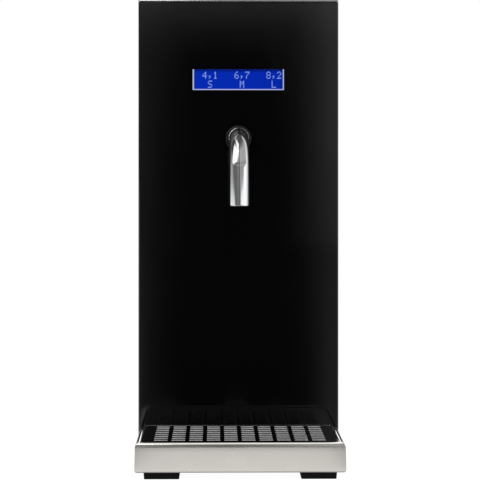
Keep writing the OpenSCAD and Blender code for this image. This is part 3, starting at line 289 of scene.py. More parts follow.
def fan_blade(turn, span=14, chord=15):
    """A twisted blade. From root to tip the pitch falls from 52 to 30 degrees, the half chord grows from 11.5
    to 13.5 mm and the thickness falls by 35 %. Each section is a lens (cosine along, sine across) on an arc
    that sags by an eighth of the chord, wrapped round the hub; the tip is closed on its middle line."""
    u = np.linspace(0, 1, span)[:, None]
    a = np.linspace(0, 2 * np.pi, 2 * chord + 1)[None, :]
    thick = np.sin(a) * (1 - 0.35 * u)
    thick = np.concatenate([thick, np.zeros_like(thick[:1])])
    u = np.concatenate([u, [[1.0]]])
    along = np.repeat(np.cos(a), len(u), 0)
    half_chord = 11.5 + 2.0 * u
    across = half_chord * along
    lift = blade_half_t * thick + half_chord / 4 * (1 - along ** 2)
    pitch = np.radians(52 - 22 * u)
    swirl = across * np.cos(pitch) - lift * np.sin(pitch)
    rise = across * np.sin(pitch) + lift * np.cos(pitch)
    radius = hub_r - blade_root + (tip_r - hub_r + blade_root) * u - 0.06 * np.abs(along) ** 4
    angle = turn + swirl / radius * (0.72 + 0.28 * u)
    y = wheel_y + 0.96 * np.clip(rise, -blade_reach, blade_reach)
    return np.stack([radius * np.cos(angle), y, radius * np.sin(angle) + fan_z], -1)


make_piece("fan_wheel", "fan", black_plastic,
           [turned(hub_profile, (0, 0, fan_z))]
           + [fan_blade(2 * np.pi * i / blade_count) for i in range(blade_count)], ["fan_impeller"], sharp=40)

guard_low, guard_high = box_mm("fan_guard")
wire_r, ring_count, ring_step, cross_drop = 1.0, 5, 8.4, 1.4
lug_r, lug_bore, lug_t, wire_to_lug = 6.0, 2.2, 1.5, 4.6
ring_y = guard_high[1] - wire_r
cross_y = ring_y - cross_drop
lug_at = guard_high[0] - lug_r
lug_y0, lug_y1 = guard_low[1], guard_low[1] + lug_t
reach = lug_at - wire_to_lug / np.sqrt(2) - wire_r
around_wire = np.linspace(0, 2 * np.pi, 13)
wire_section = wire_r * np.stack([np.cos(around_wire), np.sin(around_wire)], -1)


def straight_wire(start, end, ends=4):
    """A round wire from start to end: circles of radius r sin(a) at the ends make its domes."""
    start, end = np.array(start, float), np.array(end, float)
    along = (end - start) / np.linalg.norm(end - start)
    side = np.cross(along, [0, 1, 0])
    up = np.cross(side, along)
    a = np.linspace(0, np.pi / 2, ends)
    r = wire_r * np.concatenate([np.sin(a), np.cos(a)])
    s = np.concatenate([start - wire_r * 0.6 * np.cos(a)[:, None] * along,
                        end + wire_r * 0.6 * np.sin(a)[:, None] * along])
    ring = np.cos(around_wire)[:, None] * side + np.sin(around_wire)[:, None] * up
    return s[:, None] + r[:, None, None] * ring


guard_steel = worked_metal("chromed_wire", "#D4D6D9", 0.16, (3, 3, 3), 0.04, 0.01)
lug_profile = rounded([[lug_bore, lug_y0], [lug_r, lug_y0], [lug_r, lug_y1], [lug_bore, lug_y1],
                       [lug_bore, lug_y0]], [0.2, 0.5, 0.3])
make_piece("wire_guard", "chassis", guard_steel,
           [turned(wire_section + [ring_step * i, ring_y], (0, 0, fan_z), 72)
            for i in range(1, ring_count + 1)]
           + [straight_wire((-reach, cross_y, fan_z - side * reach), (reach, cross_y, fan_z + side * reach))
              for side in (-1, 1)]
           + [turned(lug_profile, (x * lug_at, 0, fan_z + z * lug_at), 32)
              for x in (-1, 1) for z in (-1, 1)], ["fan_guard"])

# Mains fittings
# A slotted power supply on the pan, grey and softly blotched from zinc plating; in the rear panel a
# moulded inlet with three bright pins and a rocker switch with a glossy key, both snapped into cut-outs.
zinc_sheet = worked_metal("zinc_plated_sheet", "#B9BDC1", 0.4, (7, 7, 7), 0.1, 0.015)
dress(zinc_sheet, "power_supply")
dress(black_plastic, "power_inlet", "rocker_frame")
dress(screw_steel, "inlet_pins")
dress(moulded("glossy_black_polycarbonate", "#0E0E10", 0.2, 2.5, 0.01), "rocker_key")

# Pump and hoses
# Peristaltic pump: a gear motor on a folded bracket turns a rotor with three acetal rollers inside a
# waxy white head with a clear cover. Silicone hoses lead from the lance to the head and on to the spout.
dress(zinc_sheet, "pump_bracket")
dress(moulded("black_painted_motor_case", "#44484D", 0.42, 1.4, 0.04, 0.1, Metallic=0.3), "pump_motor")
white_plastic = moulded("white_acetal", "#E6E5E0", 0.4, 1.0)
dress(white_plastic, "pump_housing", "pump_rotor", "pump_roller_1", "pump_roller_2", "pump_roller_3")
# Silicone is milky and slightly greasy, with a bloom in patches of about 6 mm.
silicone, tree, place = new_finish("clear_silicone_hose")
bloom = add(tree, "TexNoise", {"Vector": place, "Scale": 1000 / 6, "Detail": 2.0})
film = add(tree, "Mix", {0: bloom.outputs["Fac"], 6: linear("#E9E5DA"), 7: linear("#F4F2EA")},
           data_type="RGBA")
matt = add(tree, "MapRange", {"Value": bloom.outputs["Fac"], "To Min": 0.28, "To Max": 0.46})
surface = add(tree, "BsdfPrincipled", {
    "Base Color": film.outputs[2], "Roughness": matt.outputs[0], "IOR": 1.41, "Transmission Weight": 0.35})
add(tree, "OutputMaterial", {"Surface": surface.outputs[0]})
dress(silicone, "suction_hose", "delivery_hose", "pump_tube")
dress(screw_steel, "hose_clamps")
# The moulded cover is water-clear, with a faint haze in patches of about 14 mm.
clear_cover, tree, place = new_finish("clear_polycarbonate")
haze = add(tree, "TexNoise", {"Vector": place, "Scale": 1000 / 14, "Detail": 3.0})
veil = add(tree, "MapRange", {"Value": haze.outputs["Fac"], "To Min": 0.02, "To Max": 0.1})
surface = add(tree, "BsdfPrincipled", {
    "Base Color": linear("#EEF3F6"), "Roughness": veil.outputs[0], "IOR": 1.58,
    "Transmission Weight": 1.0})
add(tree, "OutputMaterial", {"Surface": surface.outputs[0]})
dress(clear_cover, "pump_cover")

# Boards
# Glass-fibre boards under a glossy green solder mask: display and control board on turned brass standoffs,
# the touch board flat behind the glass. A flat grey ribbon, PVC over its cores, joins the first two.
board_green, tree, place = new_finish("green_solder_mask")
# Copper tracks under the mask, 1.3 mm apart: a grid of thin bricks read across the board's face.
face = add(tree, "Mapping", {"Vector": place, "Rotation": (np.pi / 2, 0, 0),
                             "Scale": per_metre(1.3, 1.3, 1.3)})
tracks = add(tree, "TexBrick", {
    "Vector": face.outputs[0], "Color1": linear("#1B5331"), "Color2": linear("#17492B"),
    "Mortar": linear("#2F7A4C"), "Scale": 1.0, "Mortar Size": 0.14, "Brick Width": 9.0, "Row Height": 1.0})
ridge = add(tree, "Bump", {"Height": tracks.outputs["Fac"], "Strength": 0.3, "Distance": 0.04 * MM})
surface = add(tree, "BsdfPrincipled", {
    "Base Color": tracks.outputs["Color"], "Roughness": 0.35, "Normal": ridge.outputs[0]})
add(tree, "OutputMaterial", {"Surface": surface.outputs[0]})
dress(board_green, "lcd_board", "touch_board", "control_board")
dress(worked_metal("turned_brass", "#C8A04A", 0.26, (0.8, 6, 0.8)), "board_standoffs")
ribbon, tree, place = new_finish("grey_pvc_ribbon")
# The cores are 1.27 mm apart; they are drawn 2.5 mm apart so that they show. A wave repeats every pi / 10
# units of its scale.
cores = add(tree, "TexWave", {"Vector": place, "Scale": 1000 / 2.5 * np.pi / 10, "Distortion": 0.0},
            bands_direction="X")
jacket = add(tree, "Mix", {0: cores.outputs["Fac"], 6: linear("#9A9C9F"), 7: linear("#C2C3C4")},
             data_type="RGBA")
ribs = add(tree, "Bump", {"Height": cores.outputs["Fac"], "Strength": 0.8, "Distance": 0.3 * MM})
surface = add(tree, "BsdfPrincipled", {
    "Base Color": jacket.outputs[2], "Roughness": 0.5, "Normal": ribs.outputs[0]})
add(tree, "OutputMaterial", {"Surface": surface.outputs[0]})
dress(ribbon, "ribbon_cable")

# Side and rear panels
# Folded 1.5 mm stainless sheets, belt-brushed upright. The rear one is screwed to the flanges of the
# side ones with socket button heads; four longer screws hold the fan and its guard.
dress(worked_metal("brushed_stainless_upright", "#C9C8C5", 0.33, (0.9, 0.9, 70)),
      "left_side_panel", "right_side_panel", "rear_panel")


def button_head(at, r, h, steps=8):
    """A domed head with a six-sided socket, seen from behind: rings of points run over the dome
    (r cos a, h sin a), then follow the hexagon (flat distance / cos of the angle from its flat) down.
    Socket and steps are in proportion to the radius and height."""
    t = np.linspace(0, 2 * np.pi, 6 * steps + 1)
    hexagon = 0.42 * r * np.cos(np.pi / 6) / np.cos((t + np.pi / 6) % (np.pi / 3) - np.pi / 6)
    a = np.radians([0, 8, 25, 42, 58])
    dome = np.outer(r * np.cos(a), np.ones_like(t))
    radius = np.stack([0 * t, r + 0 * t, *dome, 1.06 * hexagon, hexagon, hexagon, 0 * t])
    height = h * np.concatenate([[0, 0], 0.25 + 0.75 * np.sin(a), [0.92, 0.86, 0.3, 0.3]])[:, None]
    return np.stack([radius * np.cos(t), height + 0 * t, radius * np.sin(t)], -1) + np.asarray(at, float)


screws_low, screws_high = box_mm("panel_screws")
rear_y = box_mm("rear_panel")[1][1]
panel_head_r, panel_head_h, panel_shank_r, panel_shank_l = 3.0, 1.8, 1.5, 6.0
fan_head_r, fan_head_h, fan_shank_r, fan_shank_l = 4.0, 2.4, 2.0, 10.0
screw_x, shank_gap = screws_high[0] - panel_head_r, 0.01
screw_z = np.linspace(screws_low[2] + panel_head_r, screws_high[2] - panel_head_r, 4)
panel_screw_at = [(x, rear_y, z) for x in (-screw_x, screw_x) for z in screw_z]
fan_screw_at = [(x * lug_at, rear_y + lug_t, fan_z + z * lug_at) for x in (-1, 1) for z in (-1, 1)]
shank = np.array([[0, 0], [1, 0], [1, 1], [0, 1]], float)
panel_shank = shank * [panel_shank_r, -panel_shank_l] - [0, shank_gap]
fan_shank = shank * [fan_shank_r, -fan_shank_l] - [0, shank_gap]
make_piece("button_head_screws", "chassis", screw_steel,
           [button_head(at, panel_head_r, panel_head_h) for at in panel_screw_at]
           + [button_head(at, fan_head_r, fan_head_h) for at in fan_screw_at]
           + [turned(panel_shank, at, 16) for at in panel_screw_at]
           + [turned(fan_shank, at, 16) for at in fan_screw_at], ["panel_screws"])

# Front glass
# A 5 mm toughened pane with ground and polished chamfers, painted black on its back and bonded to a
# zinc-plated carrier plate. The face is mirror smooth apart from faint wiping marks.
dress(zinc_sheet, "front_carrier")
black_glass, tree, place = new_finish("black_back_painted_glass")
wiped = add(tree, "Mapping", {"Vector": place, "Rotation": (0, 0.5, 0), "Scale": per_metre(26, 26, 110)})
smear = add(tree, "TexNoise", {"Vector": wiped.outputs[0], "Scale": 1.0, "Detail": 4.0, "Roughness": 0.6})
film = add(tree, "MapRange", {"Value": smear.outputs["Fac"], "From Min": 0.35, "From Max": 0.75,
                              "To Min": 0.025, "To Max": 0.09})
surface = add(tree, "BsdfPrincipled", {
    "Base Color": linear("#040405"), "Roughness": film.outputs[0], "IOR": 1.52})
add(tree, "OutputMaterial", {"Surface": surface.outputs[0]})
dress(black_glass, "front_glass")

# Display
# A two-line character module: a moulded rim with a pale lip, a backlit blue liquid-crystal glass and its
# dot characters, seen through a clear acrylic lens set in the window of the front glass.


def unmirrored(tree, light):
    """A light's strength where it is seen directly, and nothing where a polished surface mirrors it: it is
    multiplied by one minus the glossy bounces. The module shines in a narrow cone straight ahead."""
    bounces = add(tree, "LightPath").outputs["Glossy Depth"]
    direct = add(tree, "Math", {0: 1.0, 1: bounces}, operation="SUBTRACT", use_clamp=True)
    return add(tree, "Math", {0: light, 1: direct.outputs[0]}, operation="MULTIPLY").outputs[0]


# Only a lip round the crystal is pale and lit from within; the rest of the moulding is a dull black.
lip_middle, lip_half_w, lip_low, lip_glow = -0.25, 50.2, 402.9, 0.8
pale_rim, tree, place = new_finish("pale_moulded_rim")
at_rim = add(tree, "SeparateXYZ", {"Vector": place})
off_lip = add(tree, "Math", {0: at_rim.outputs["X"], 1: lip_middle * MM}, operation="SUBTRACT")
off_lip = add(tree, "Math", {0: off_lip.outputs[0]}, operation="ABSOLUTE")
between = add(tree, "Math", {0: off_lip.outputs[0], 1: lip_half_w * MM}, operation="LESS_THAN")
above = add(tree, "Math", {0: at_rim.outputs["Z"], 1: lip_low * MM}, operation="GREATER_THAN")
lip = add(tree, "Math", {0: between.outputs[0], 1: above.outputs[0]}, operation="MULTIPLY")
lip_light = add(tree, "Math", {0: lip.outputs[0], 1: lip_glow}, operation="MULTIPLY")
surface = add(tree, "BsdfPrincipled", {
    "Base Color": linear("#15151A"), "Roughness": 0.5, "Emission Color": linear("#C4CCFA"),
    "Emission Strength": unmirrored(tree, lip_light.outputs[0])})
add(tree, "OutputMaterial", {"Surface": surface.outputs[0]})
dress(pale_rim, "lcd_bezel")

# The backlight sits at the left end, so the screen falls off slightly to the right; the rim's shade is
# painted on its edges.
screen_low, screen_high = box_mm("lcd_screen")
screen_left, screen_right, screen_top = screen_low[0], screen_high[0], screen_high[2]
# The first entry is the backlight's falloff; the others are painted shade of the window's rim on the left,
# right and top edges.
rim_shade_and_falloff = [("X", screen_left, screen_right, 1.08, 0.95), ("X", screen_left, screen_left + 1.5, 0.4, 1.0),
         ("X", screen_right, screen_right - 4, 0.55, 1.0), ("Z", screen_top - 4, screen_top, 1.0, 0.35)]
screen_blue, tree, place = new_finish("backlit_blue_crystal")
at_screen = add(tree, "SeparateXYZ", {"Vector": place})
backlight_and_rim_shade = 1.0
for axis, start, end, at_start, at_end in rim_shade_and_falloff:
    fade = add(tree, "MapRange", {"Value": at_screen.outputs[axis], "From Min": start * MM,
                                  "From Max": end * MM, "To Min": at_start, "To Max": at_end})
    backlight_and_rim_shade = add(tree, "Math", {0: backlight_and_rim_shade, 1: fade.outputs[0]}, operation="MULTIPLY").outputs[0]
surface = add(tree, "BsdfPrincipled", {
    "Base Color": linear("#020818"), "Roughness": 0.3, "Specular IOR Level": 0.0,
    "Emission Color": linear("#052CB4"), "Emission Strength": unmirrored(tree, backlight_and_rim_shade)})
add(tree, "OutputMaterial", {"Surface": surface.outputs[0]})
dress(screen_blue, "lcd_screen")

# The characters are seven rows of five dots; each line is given with the height of its middle.
DOTS = {
    "1": "..#.. .##.. ..#.. ..#.. ..#.. ..#.. .###.",
    "2": ".###. #...# ....# ...#. ..#.. .#... #####",
    "4": "...#. ..##. .#.#. #..#. ##### ...#. ...#.",
    "6": "..##. .#... #.... ####. #...# #...# .###.",
    "7": "##### ....# ...#. ..#.. .#... .#... .#...",
    "8": ".###. #...# #...# .###. #...# #...# .###.",
    ",": "..... ..... ..... ..... .##.. ..#.. .#...",
    "S": ".#### #.... #.... .###. ....# ....# ####.",
    "M": "#...# ##.## #.#.# #.#.# #...# #...# #...#",
    "L": "#.... #.... #.... #.... #.... #.... #####",
}
upper_z, lower_z = 419.2, 409.3
LINES = [(upper_z, " 4,1   6,7   8,2"), (lower_z, "  S     M     L ")]
char_pitch, dot_w, dot_h, dot_gap, text_left = 5.84, 0.95, 1.12, 0.1, -44.8
dot_front, dot_back = screen_low[1] - 0.12, screen_low[1] + 0.05
spots = np.concatenate([
    np.argwhere(np.array([list(row) for row in DOTS[char].split()]) == "#")[:, ::-1] * [dot_w, -dot_h]
    + [text_left + char_pitch * column, line_z + 3 * dot_h]
    for line_z, line in LINES for column, char in enumerate(line) if char != " "])


def dot_blocks(spots, w, h, y_front, y_back):
    """A thin block for each dot: the four corners of a w by h cell round the spot, at two depths,
    with both faces drawn to their middles so that the block is closed."""
    corner = np.array([[-1, -1], [1, -1], [1, 1], [-1, 1], [-1, -1]]) / 2 * [w, h]
    rings = np.stack([0 * corner, corner, corner, 0 * corner])
    depth = np.array([y_front, y_front, y_back, y_back])[:, None] * np.ones(5)
    x = spots[:, None, None, 0] + rings[None, ..., 0]
    z = spots[:, None, None, 1] + rings[None, ..., 1]
    return list(np.stack([x, np.broadcast_to(depth, x.shape), z], -1))


# The crystal lets the light through a little unevenly, in patches of about 9 mm.
lit_dots, tree, place = new_finish("lit_crystal_dots")
flicker = add(tree, "TexNoise", {"Vector": place, "Scale": 1000 / 9})
glow = add(tree, "MapRange", {"Value": flicker.outputs["Fac"], "To Min": 0.8, "To Max": 1.0})
surface = add(tree, "BsdfPrincipled", {
    "Base Color": linear("#101828"), "Roughness": 0.3, "Specular IOR Level": 0.0,
    "Emission Color": linear("#98B2FF"), "Emission Strength": unmirrored(tree, glow.outputs[0])})
add(tree, "OutputMaterial", {"Surface": surface.outputs[0]})
make_piece("lcd_characters", "chassis", lit_dots,
           dot_blocks(spots, dot_w - dot_gap, dot_h - dot_gap, dot_front, dot_back))
# Cast acrylic is as clear as glass, with hardly any haze.
clear_lens, tree, place = new_finish("clear_cast_acrylic")
haze = add(tree, "TexNoise", {"Vector": place, "Scale": 1000 / 20, "Detail": 2.0})
veil = add(tree, "MapRange", {"Value": haze.outputs["Fac"], "To Min": 0.0, "To Max": 0.03})
surface = add(tree, "BsdfPrincipled", {
    "Base Color": linear("#F4F7FA"), "Roughness": veil.outputs[0], "IOR": 1.49,
    "Transmission Weight": 1.0})
add(tree, "OutputMaterial", {"Surface": surface.outputs[0]})
dress(clear_lens, "display_lens")

# Spout
# A bent stainless tube, polished to a mirror, with a flange on the glass, a nut behind it and a hose tail.
# A moulded black collar covers the flange; a low ridge is left in the tube where the bend starts.
spout_low, spout_high = box_mm("spout_tube")
collar_low, collar_high = box_mm("spout_collar")
spout_r, spout_bore, bend_r, axis_z = 10.5, 9.0, 32.0, (collar_low[2] + collar_high[2]) / 2
flange_y, flange_r, flange_t, thread_y, tail_y = collar_high[1], 12.5, 2.0, -69.5, spout_high[1]
tail_r, tail_bore, tail_depth, ridge_half_w, ridge_h, ridge_before = 3.2, 2.2, 4.0, 0.9, 0.5, 2.4
outlet_z, outlet_ease, drop_y = spout_low[2], 0.9, spout_low[1] + spout_r
bend_start = thread_y - (drop_y + bend_r)
bend_end = bend_start + bend_r * np.pi / 2
spout_end = bend_end + axis_z - bend_r - outlet_z


def along_spout(profile, steps=64):
    """A profile of (distance from the thread's end, radius) points carried along the spout's middle line:
    straight towards the front, a quarter circle downwards, then straight down to the outlet."""
    s, r = np.asarray(profile, float).T
    a = np.clip((s - bend_start) / bend_r, 0, np.pi / 2)
    y = thread_y - np.minimum(s, bend_start) - bend_r * np.sin(a)
    z = axis_z - bend_r * (1 - np.cos(a)) - np.maximum(s - bend_end, 0)
    t = np.linspace(0, 2 * np.pi, steps + 1)
    out = r[:, None] * np.sin(t)
    return np.stack([r[:, None] * np.cos(t), y[:, None] - out * np.sin(a)[:, None],
                     z[:, None] + out * np.cos(a)[:, None]], -1)


tail_s, flange_s, ridge_s = thread_y - tail_y, thread_y - flange_y, bend_start - ridge_before
over = np.linspace(0, np.pi, 9)
ridge_line = np.stack([ridge_s + ridge_half_w * (1 - np.cos(over)), spout_r + ridge_h * np.sin(over)], -1)
bend_steps = np.linspace(bend_start, bend_end, 40)
bend_outside = np.stack([bend_steps, np.full(len(bend_steps), spout_r)], -1)
bend_inside = np.stack([bend_steps[::-1], np.full(len(bend_steps), spout_bore)], -1)
outlet_lip = rounded([[spout_end - outlet_ease, spout_r], [spout_end, spout_r], [spout_end, spout_bore],
                      [spout_end - outlet_ease, spout_bore]], [0.7, 0.6], 7)
spout_profile = np.concatenate([
    [[tail_s, tail_bore], [tail_s, tail_r], [0, tail_r], [0, spout_r], [flange_s, spout_r],
     [flange_s, flange_r], [flange_s + flange_t, flange_r], [flange_s + flange_t, spout_r],
     [ridge_s - 0.2, spout_r]],
    ridge_line, [[ridge_s + 2 * ridge_half_w + 0.2, spout_r]], bend_outside, [[spout_end - 1, spout_r]],
    outlet_lip, [[spout_end - 1, spout_bore]], bend_inside,
    [[tail_depth, spout_bore], [tail_depth, tail_bore], [tail_s, tail_bore]]])
polished = worked_metal("mirror_polished_stainless", "#DADBDC", 0.07, (2.5, 2.5, 2.5), 0.02, 0.002)
make_piece("bent_spout", "chassis", polished, [along_spout(spout_profile)], ["spout_tube"])
collar_y0, collar_y1, fit = collar_low[1], collar_high[1], 0.05
collar_r, hole_r, recess_r = (collar_high[0] - collar_low[0]) / 2, spout_r + fit, flange_r + fit
recess_y = collar_y1 - flange_t - 2 * fit
collar_profile = rounded([[hole_r, recess_y], [hole_r, collar_y0], [collar_r, collar_y0],
                          [collar_r, collar_y1], [recess_r, collar_y1], [recess_r, recess_y],
                          [hole_r, recess_y]], [0.5, 1.1, 0.1, 0.1, 0.1])
collar_plastic = moulded("satin_black_polyamide", "#101012", 0.3, 1.1, 0.01, **{"Specular IOR Level": 0.3})
make_piece("moulded_collar", "chassis", collar_plastic,
           [turned(collar_profile, (0, 0, axis_z), 96)], ["spout_collar"])
dress(black_rubber, "spout_seal")
dress(screw_steel, "spout_nut")

# Top deck and lid
# A satin white ABS deck closes the body round the chamber's mouth. The lid is a stainless sheet, brushed
# from front to back and bonded to an insulated block with a gasket, on two zinc-plated hinges.
dress(moulded("white_moulded_abs", "#E9E8E3", 0.42, 1.0), "top_deck", "lid_inner")
dress(black_rubber, "lid_gasket")
dress(zinc_sheet, "hinge_leaf_fixed_left", "hinge_leaf_fixed_right",
      "hinge_leaf_moving_left", "hinge_leaf_moving_right")
dress(screw_steel, "hinge_pins")


def level(x, y0, y1, r, z):
    """One level that is symmetric about the middle plane."""
    return [-x, x, y0, y1, r, z]


def inset_levels(x, y0, y1, r, least_r, section):
    """Levels of a rectangle along a section of (half width, height) points. Each is drawn in all round by as
    much as its point lies inside the half width x, and its corner radius shrinks by as much."""
    return [level(w, y0 + x - w, y1 - x + w, max(r - x + w, least_r), z) for w, z in section]


lid_low, lid_high = box_mm("lid_plate")
lid_x, lid_y0, lid_y1, lid_r, lid_ease = lid_high[0], lid_low[1], lid_high[1], 2.0, 0.5
lid_mid = (lid_y0 + lid_y1) / 2
# The flat starts close to the eased edge, so that the edge's soft shading doesn't spread over the sheet.
lid_flat = lid_x - 3 * lid_ease
lid_edge = rounded([[lid_flat, lid_low[2]], [lid_x, lid_low[2]], [lid_x, lid_high[2]],
                    [lid_flat, lid_high[2]]], [lid_ease, lid_ease])
lid_levels = [level(0, lid_mid, lid_mid, 0, lid_low[2]),
              *inset_levels(lid_x, lid_y0, lid_y1, lid_r, 0.2, lid_edge),
              level(0, lid_mid, lid_mid, 0, lid_high[2])]
lid_steel = worked_metal("brushed_stainless_lid", "#CBCAC7", 0.3, (0.9, 70, 0.9))
make_piece("lid_sheet", "lid", lid_steel, [plan_levels(lid_levels)], ["lid_plate"])

# Drip tray
# Pressed from 1.2 mm stainless: a basin with a ledge for the grille, and an apron rolled over the front edge.
# Bead-blasted satin with a buffed rim; a black rubber strip on each wall of the holder fills the gap beside
# the tray and stands in for its shade.
tray_low, tray_high = box_mm("drip_tray")
bead_z, bead_rise, tray_t, tray_x = tray_high[2], 2.4, 1.2, 104.3
rim_z, rim_ease, rim_fall_w, rim_fall_h, rim_r = bead_z - bead_rise, 0.5, 1.8, 1.0, 3.0
pan_front, pan_back, seat_x, seat_front, seat_back = -221.0, tray_high[1], 102.0, -211.0, -93.8
seat_z, ledge, ledge_r, floor_z = 33.9, 3.0, 4.0, 11.0
# The floor's flat starts just inside its rounded foot, so that the foot's soft shading stays off it.
floor_flat, foot_in_r, foot_out_r, basin_in_r, basin_out_r, least_r = tray_x - 7.5, 5.0, 6.0, 9.0, 4.0, 1.0
apron_y, apron_low, roll_r, curl_r = tray_low[1], tray_low[2], 5.0, 2.0
apron_back = apron_y + roll_r + 2
roll_end = np.arcsin((rim_z - bead_z + roll_r) / roll_r)
tray_mid = (pan_front + pan_back) / 2
inside = rounded([[floor_flat, floor_z + tray_t], [tray_x - tray_t, floor_z + tray_t],
                  [tray_x - tray_t, seat_z - tray_t]], [foot_in_r], 7)
outside = rounded([[tray_x, rim_z - 0.8], [tray_x, floor_z], [floor_flat, floor_z]], [foot_out_r], 7)
a = np.linspace(0, np.pi / 2, 9)
rim_fall = np.stack([rim_fall_w * (1 - np.sin(a)), rim_z - rim_fall_h * (1 - np.cos(a))], -1)
pan_levels = [
    level(0, tray_mid, tray_mid, 0, floor_z + tray_t),
    *inset_levels(tray_x, pan_front, pan_back, basin_in_r, least_r, inside),
    *[level(seat_x - ledge, seat_front + ledge, seat_back - ledge, ledge_r, z)
      for z in (seat_z - tray_t, seat_z)],
    level(seat_x, seat_front, seat_back, rim_r, seat_z),
    *[level(seat_x + out, seat_front - out, seat_back + out, rim_r, rim_z - down)
      for out, down in ((0, rim_ease), (0.3 * rim_ease, 0.3 * rim_ease), (rim_ease, 0))],
    *[level(tray_x - d, apron_back, pan_back - d, rim_r - 0.8 * d, z) for d, z in rim_fall],
    level(tray_x, apron_back, pan_back, rim_r, rim_z - tray_t),
    *inset_levels(tray_x, pan_front, pan_back, basin_out_r, least_r, outside),
    level(0, tray_mid, tray_mid, 0, floor_z)]
apron_half_high, apron_half_low, upper_r, lower_r = 106.85, tray_high[0], 5.0, 3.0


def apron_side(z):
    """Half width of the apron at height z: even along the roll, then slowly wider down to the lower edge,
    and drawn in by a quarter circle, r minus the root of r squared less h squared, at each corner."""
    w = np.interp(z, [apron_low, bead_z - roll_r], [apron_half_low, apron_half_high])
    low = np.clip(lower_r - (z - apron_low), 0, lower_r)
    high = np.clip(upper_r - (bead_z - z), 0, upper_r)
    return w - lower_r + np.sqrt(lower_r ** 2 - low ** 2) - upper_r + np.sqrt(upper_r ** 2 - high ** 2)


def apron_line(inset):
    """The apron's section, (y, z) points at a depth inside the sheet: back edge, roll, face and curl.
    The roll is an arc outside; inside it is bridged straight, so that its ends are closed."""
    a = np.linspace(roll_end, np.pi, 25)
    b = np.radians(np.linspace(180, 270, 9))
    roll = np.stack([apron_y + roll_r + roll_r * np.cos(a), bead_z - roll_r + roll_r * np.sin(a)], -1)
    if inset:
        roll = np.linspace(roll[0], roll[-1] + [inset, 0], 25)
    curl_middle = [apron_y + curl_r, apron_low + curl_r]
    curl = curl_middle + (curl_r - inset) * np.stack([np.cos(b), np.sin(b)], -1)
    face = np.linspace(roll[-1], curl[0], 6)[1:-1]
    return np.concatenate([roll, face, curl])


apron_out, apron_in = apron_line(0), apron_line(tray_t)
apron_loop = np.concatenate([apron_out, apron_in[::-1], apron_out[:1]])
apron_half = apron_side(apron_out[:, 1])
apron_half = np.concatenate([apron_half, apron_half[::-1], apron_half[:1]])
apron_across = np.concatenate([[-1], np.linspace(-0.98, 0.98, 15), [1]])
apron_section = np.repeat(apron_loop[:, None], len(apron_across), 1)
apron = np.concatenate([(apron_half[:, None] * apron_across)[..., None], apron_section], -1)
count = len(apron_out)
apron_ends = [np.stack([apron[:count, end], apron[count:2 * count, end][::-1]], 1) for end in (0, -1)]
tray_steel, tree, place = new_finish("bead_blasted_stainless")
# The blasted pits are about 0.1 mm across; they are drawn 0.7 mm across so that they show.
pits = add(tree, "TexNoise", {"Vector": place, "Scale": 1000 / 0.7, "Detail": 2.0})
broad = add(tree, "TexNoise", {"Vector": place, "Scale": 1000 / 38, "Detail": 3.0})
tone = add(tree, "Mix", {0: broad.outputs["Fac"], 6: linear("#D2CEC8"), 7: linear("#E0DDD7")},
           data_type="RGBA")
satin = add(tree, "MapRange", {"Value": broad.outputs["Fac"], "From Min": 0.3, "From Max": 0.7,
                               "To Min": 0.24, "To Max": 0.32})
# From just under the rim upwards the steel is buffed bright.
height = add(tree, "SeparateXYZ", {"Vector": place})
matt = add(tree, "MapRange", {"Value": height.outputs["Z"], "From Min": (rim_z - 2.4) * MM,
                              "From Max": (rim_z - 0.9) * MM, "To Min": satin.outputs[0], "To Max": 0.12})
skin = add(tree, "Bump", {"Height": pits.outputs["Fac"], "Strength": 0.25, "Distance": 0.02 * MM})
surface = add(tree, "BsdfPrincipled", {
    "Base Color": tone.outputs[2], "Metallic": 1.0, "Roughness": matt.outputs[0], "Normal": skin.outputs[0]})
add(tree, "OutputMaterial", {"Surface": surface.outputs[0]})
make_piece("pressed_tray", "tray", tray_steel,
           [plan_levels(pan_levels), apron] + apron_ends, ["drip_tray"], bevel=0.25)

# Black strips fill the gap between the tray and the holder's walls, so that the gap shows dark: painted shade
# in the form of a dark piece.
wall_in, wall_top, strip_front, strip_back = 105.5, box_mm("base_pan")[1][2], -221.5, -92.0
strip_in, strip_low, strip_lap, strip_lip, strip_ease, strip_r = 104.5, 27.0, 106.3, 0.45, 0.15, 0.1
lap_z, strip_top = wall_top + 0.01, wall_top + strip_lip
strip_section = [
    (strip_in, wall_in, strip_low), (strip_in, wall_in, lap_z), (strip_in, strip_lap, lap_z),
    (strip_in, strip_lap, strip_top - strip_ease), (strip_in + strip_ease, strip_lap - strip_ease, strip_top)]
strip_ends = [((i + o) / 2, (i + o) / 2, z) for i, o, z in (strip_section[0], strip_section[-1])]
make_piece("gap_shade_strips", "chassis", black_rubber, [
    plan_levels([[*sorted((side * i, side * o)), strip_front, strip_back, strip_r * (o > i), z]
                 for i, o, z in (strip_ends[0], *strip_section, strip_ends[1])]) for side in (-1, 1)])

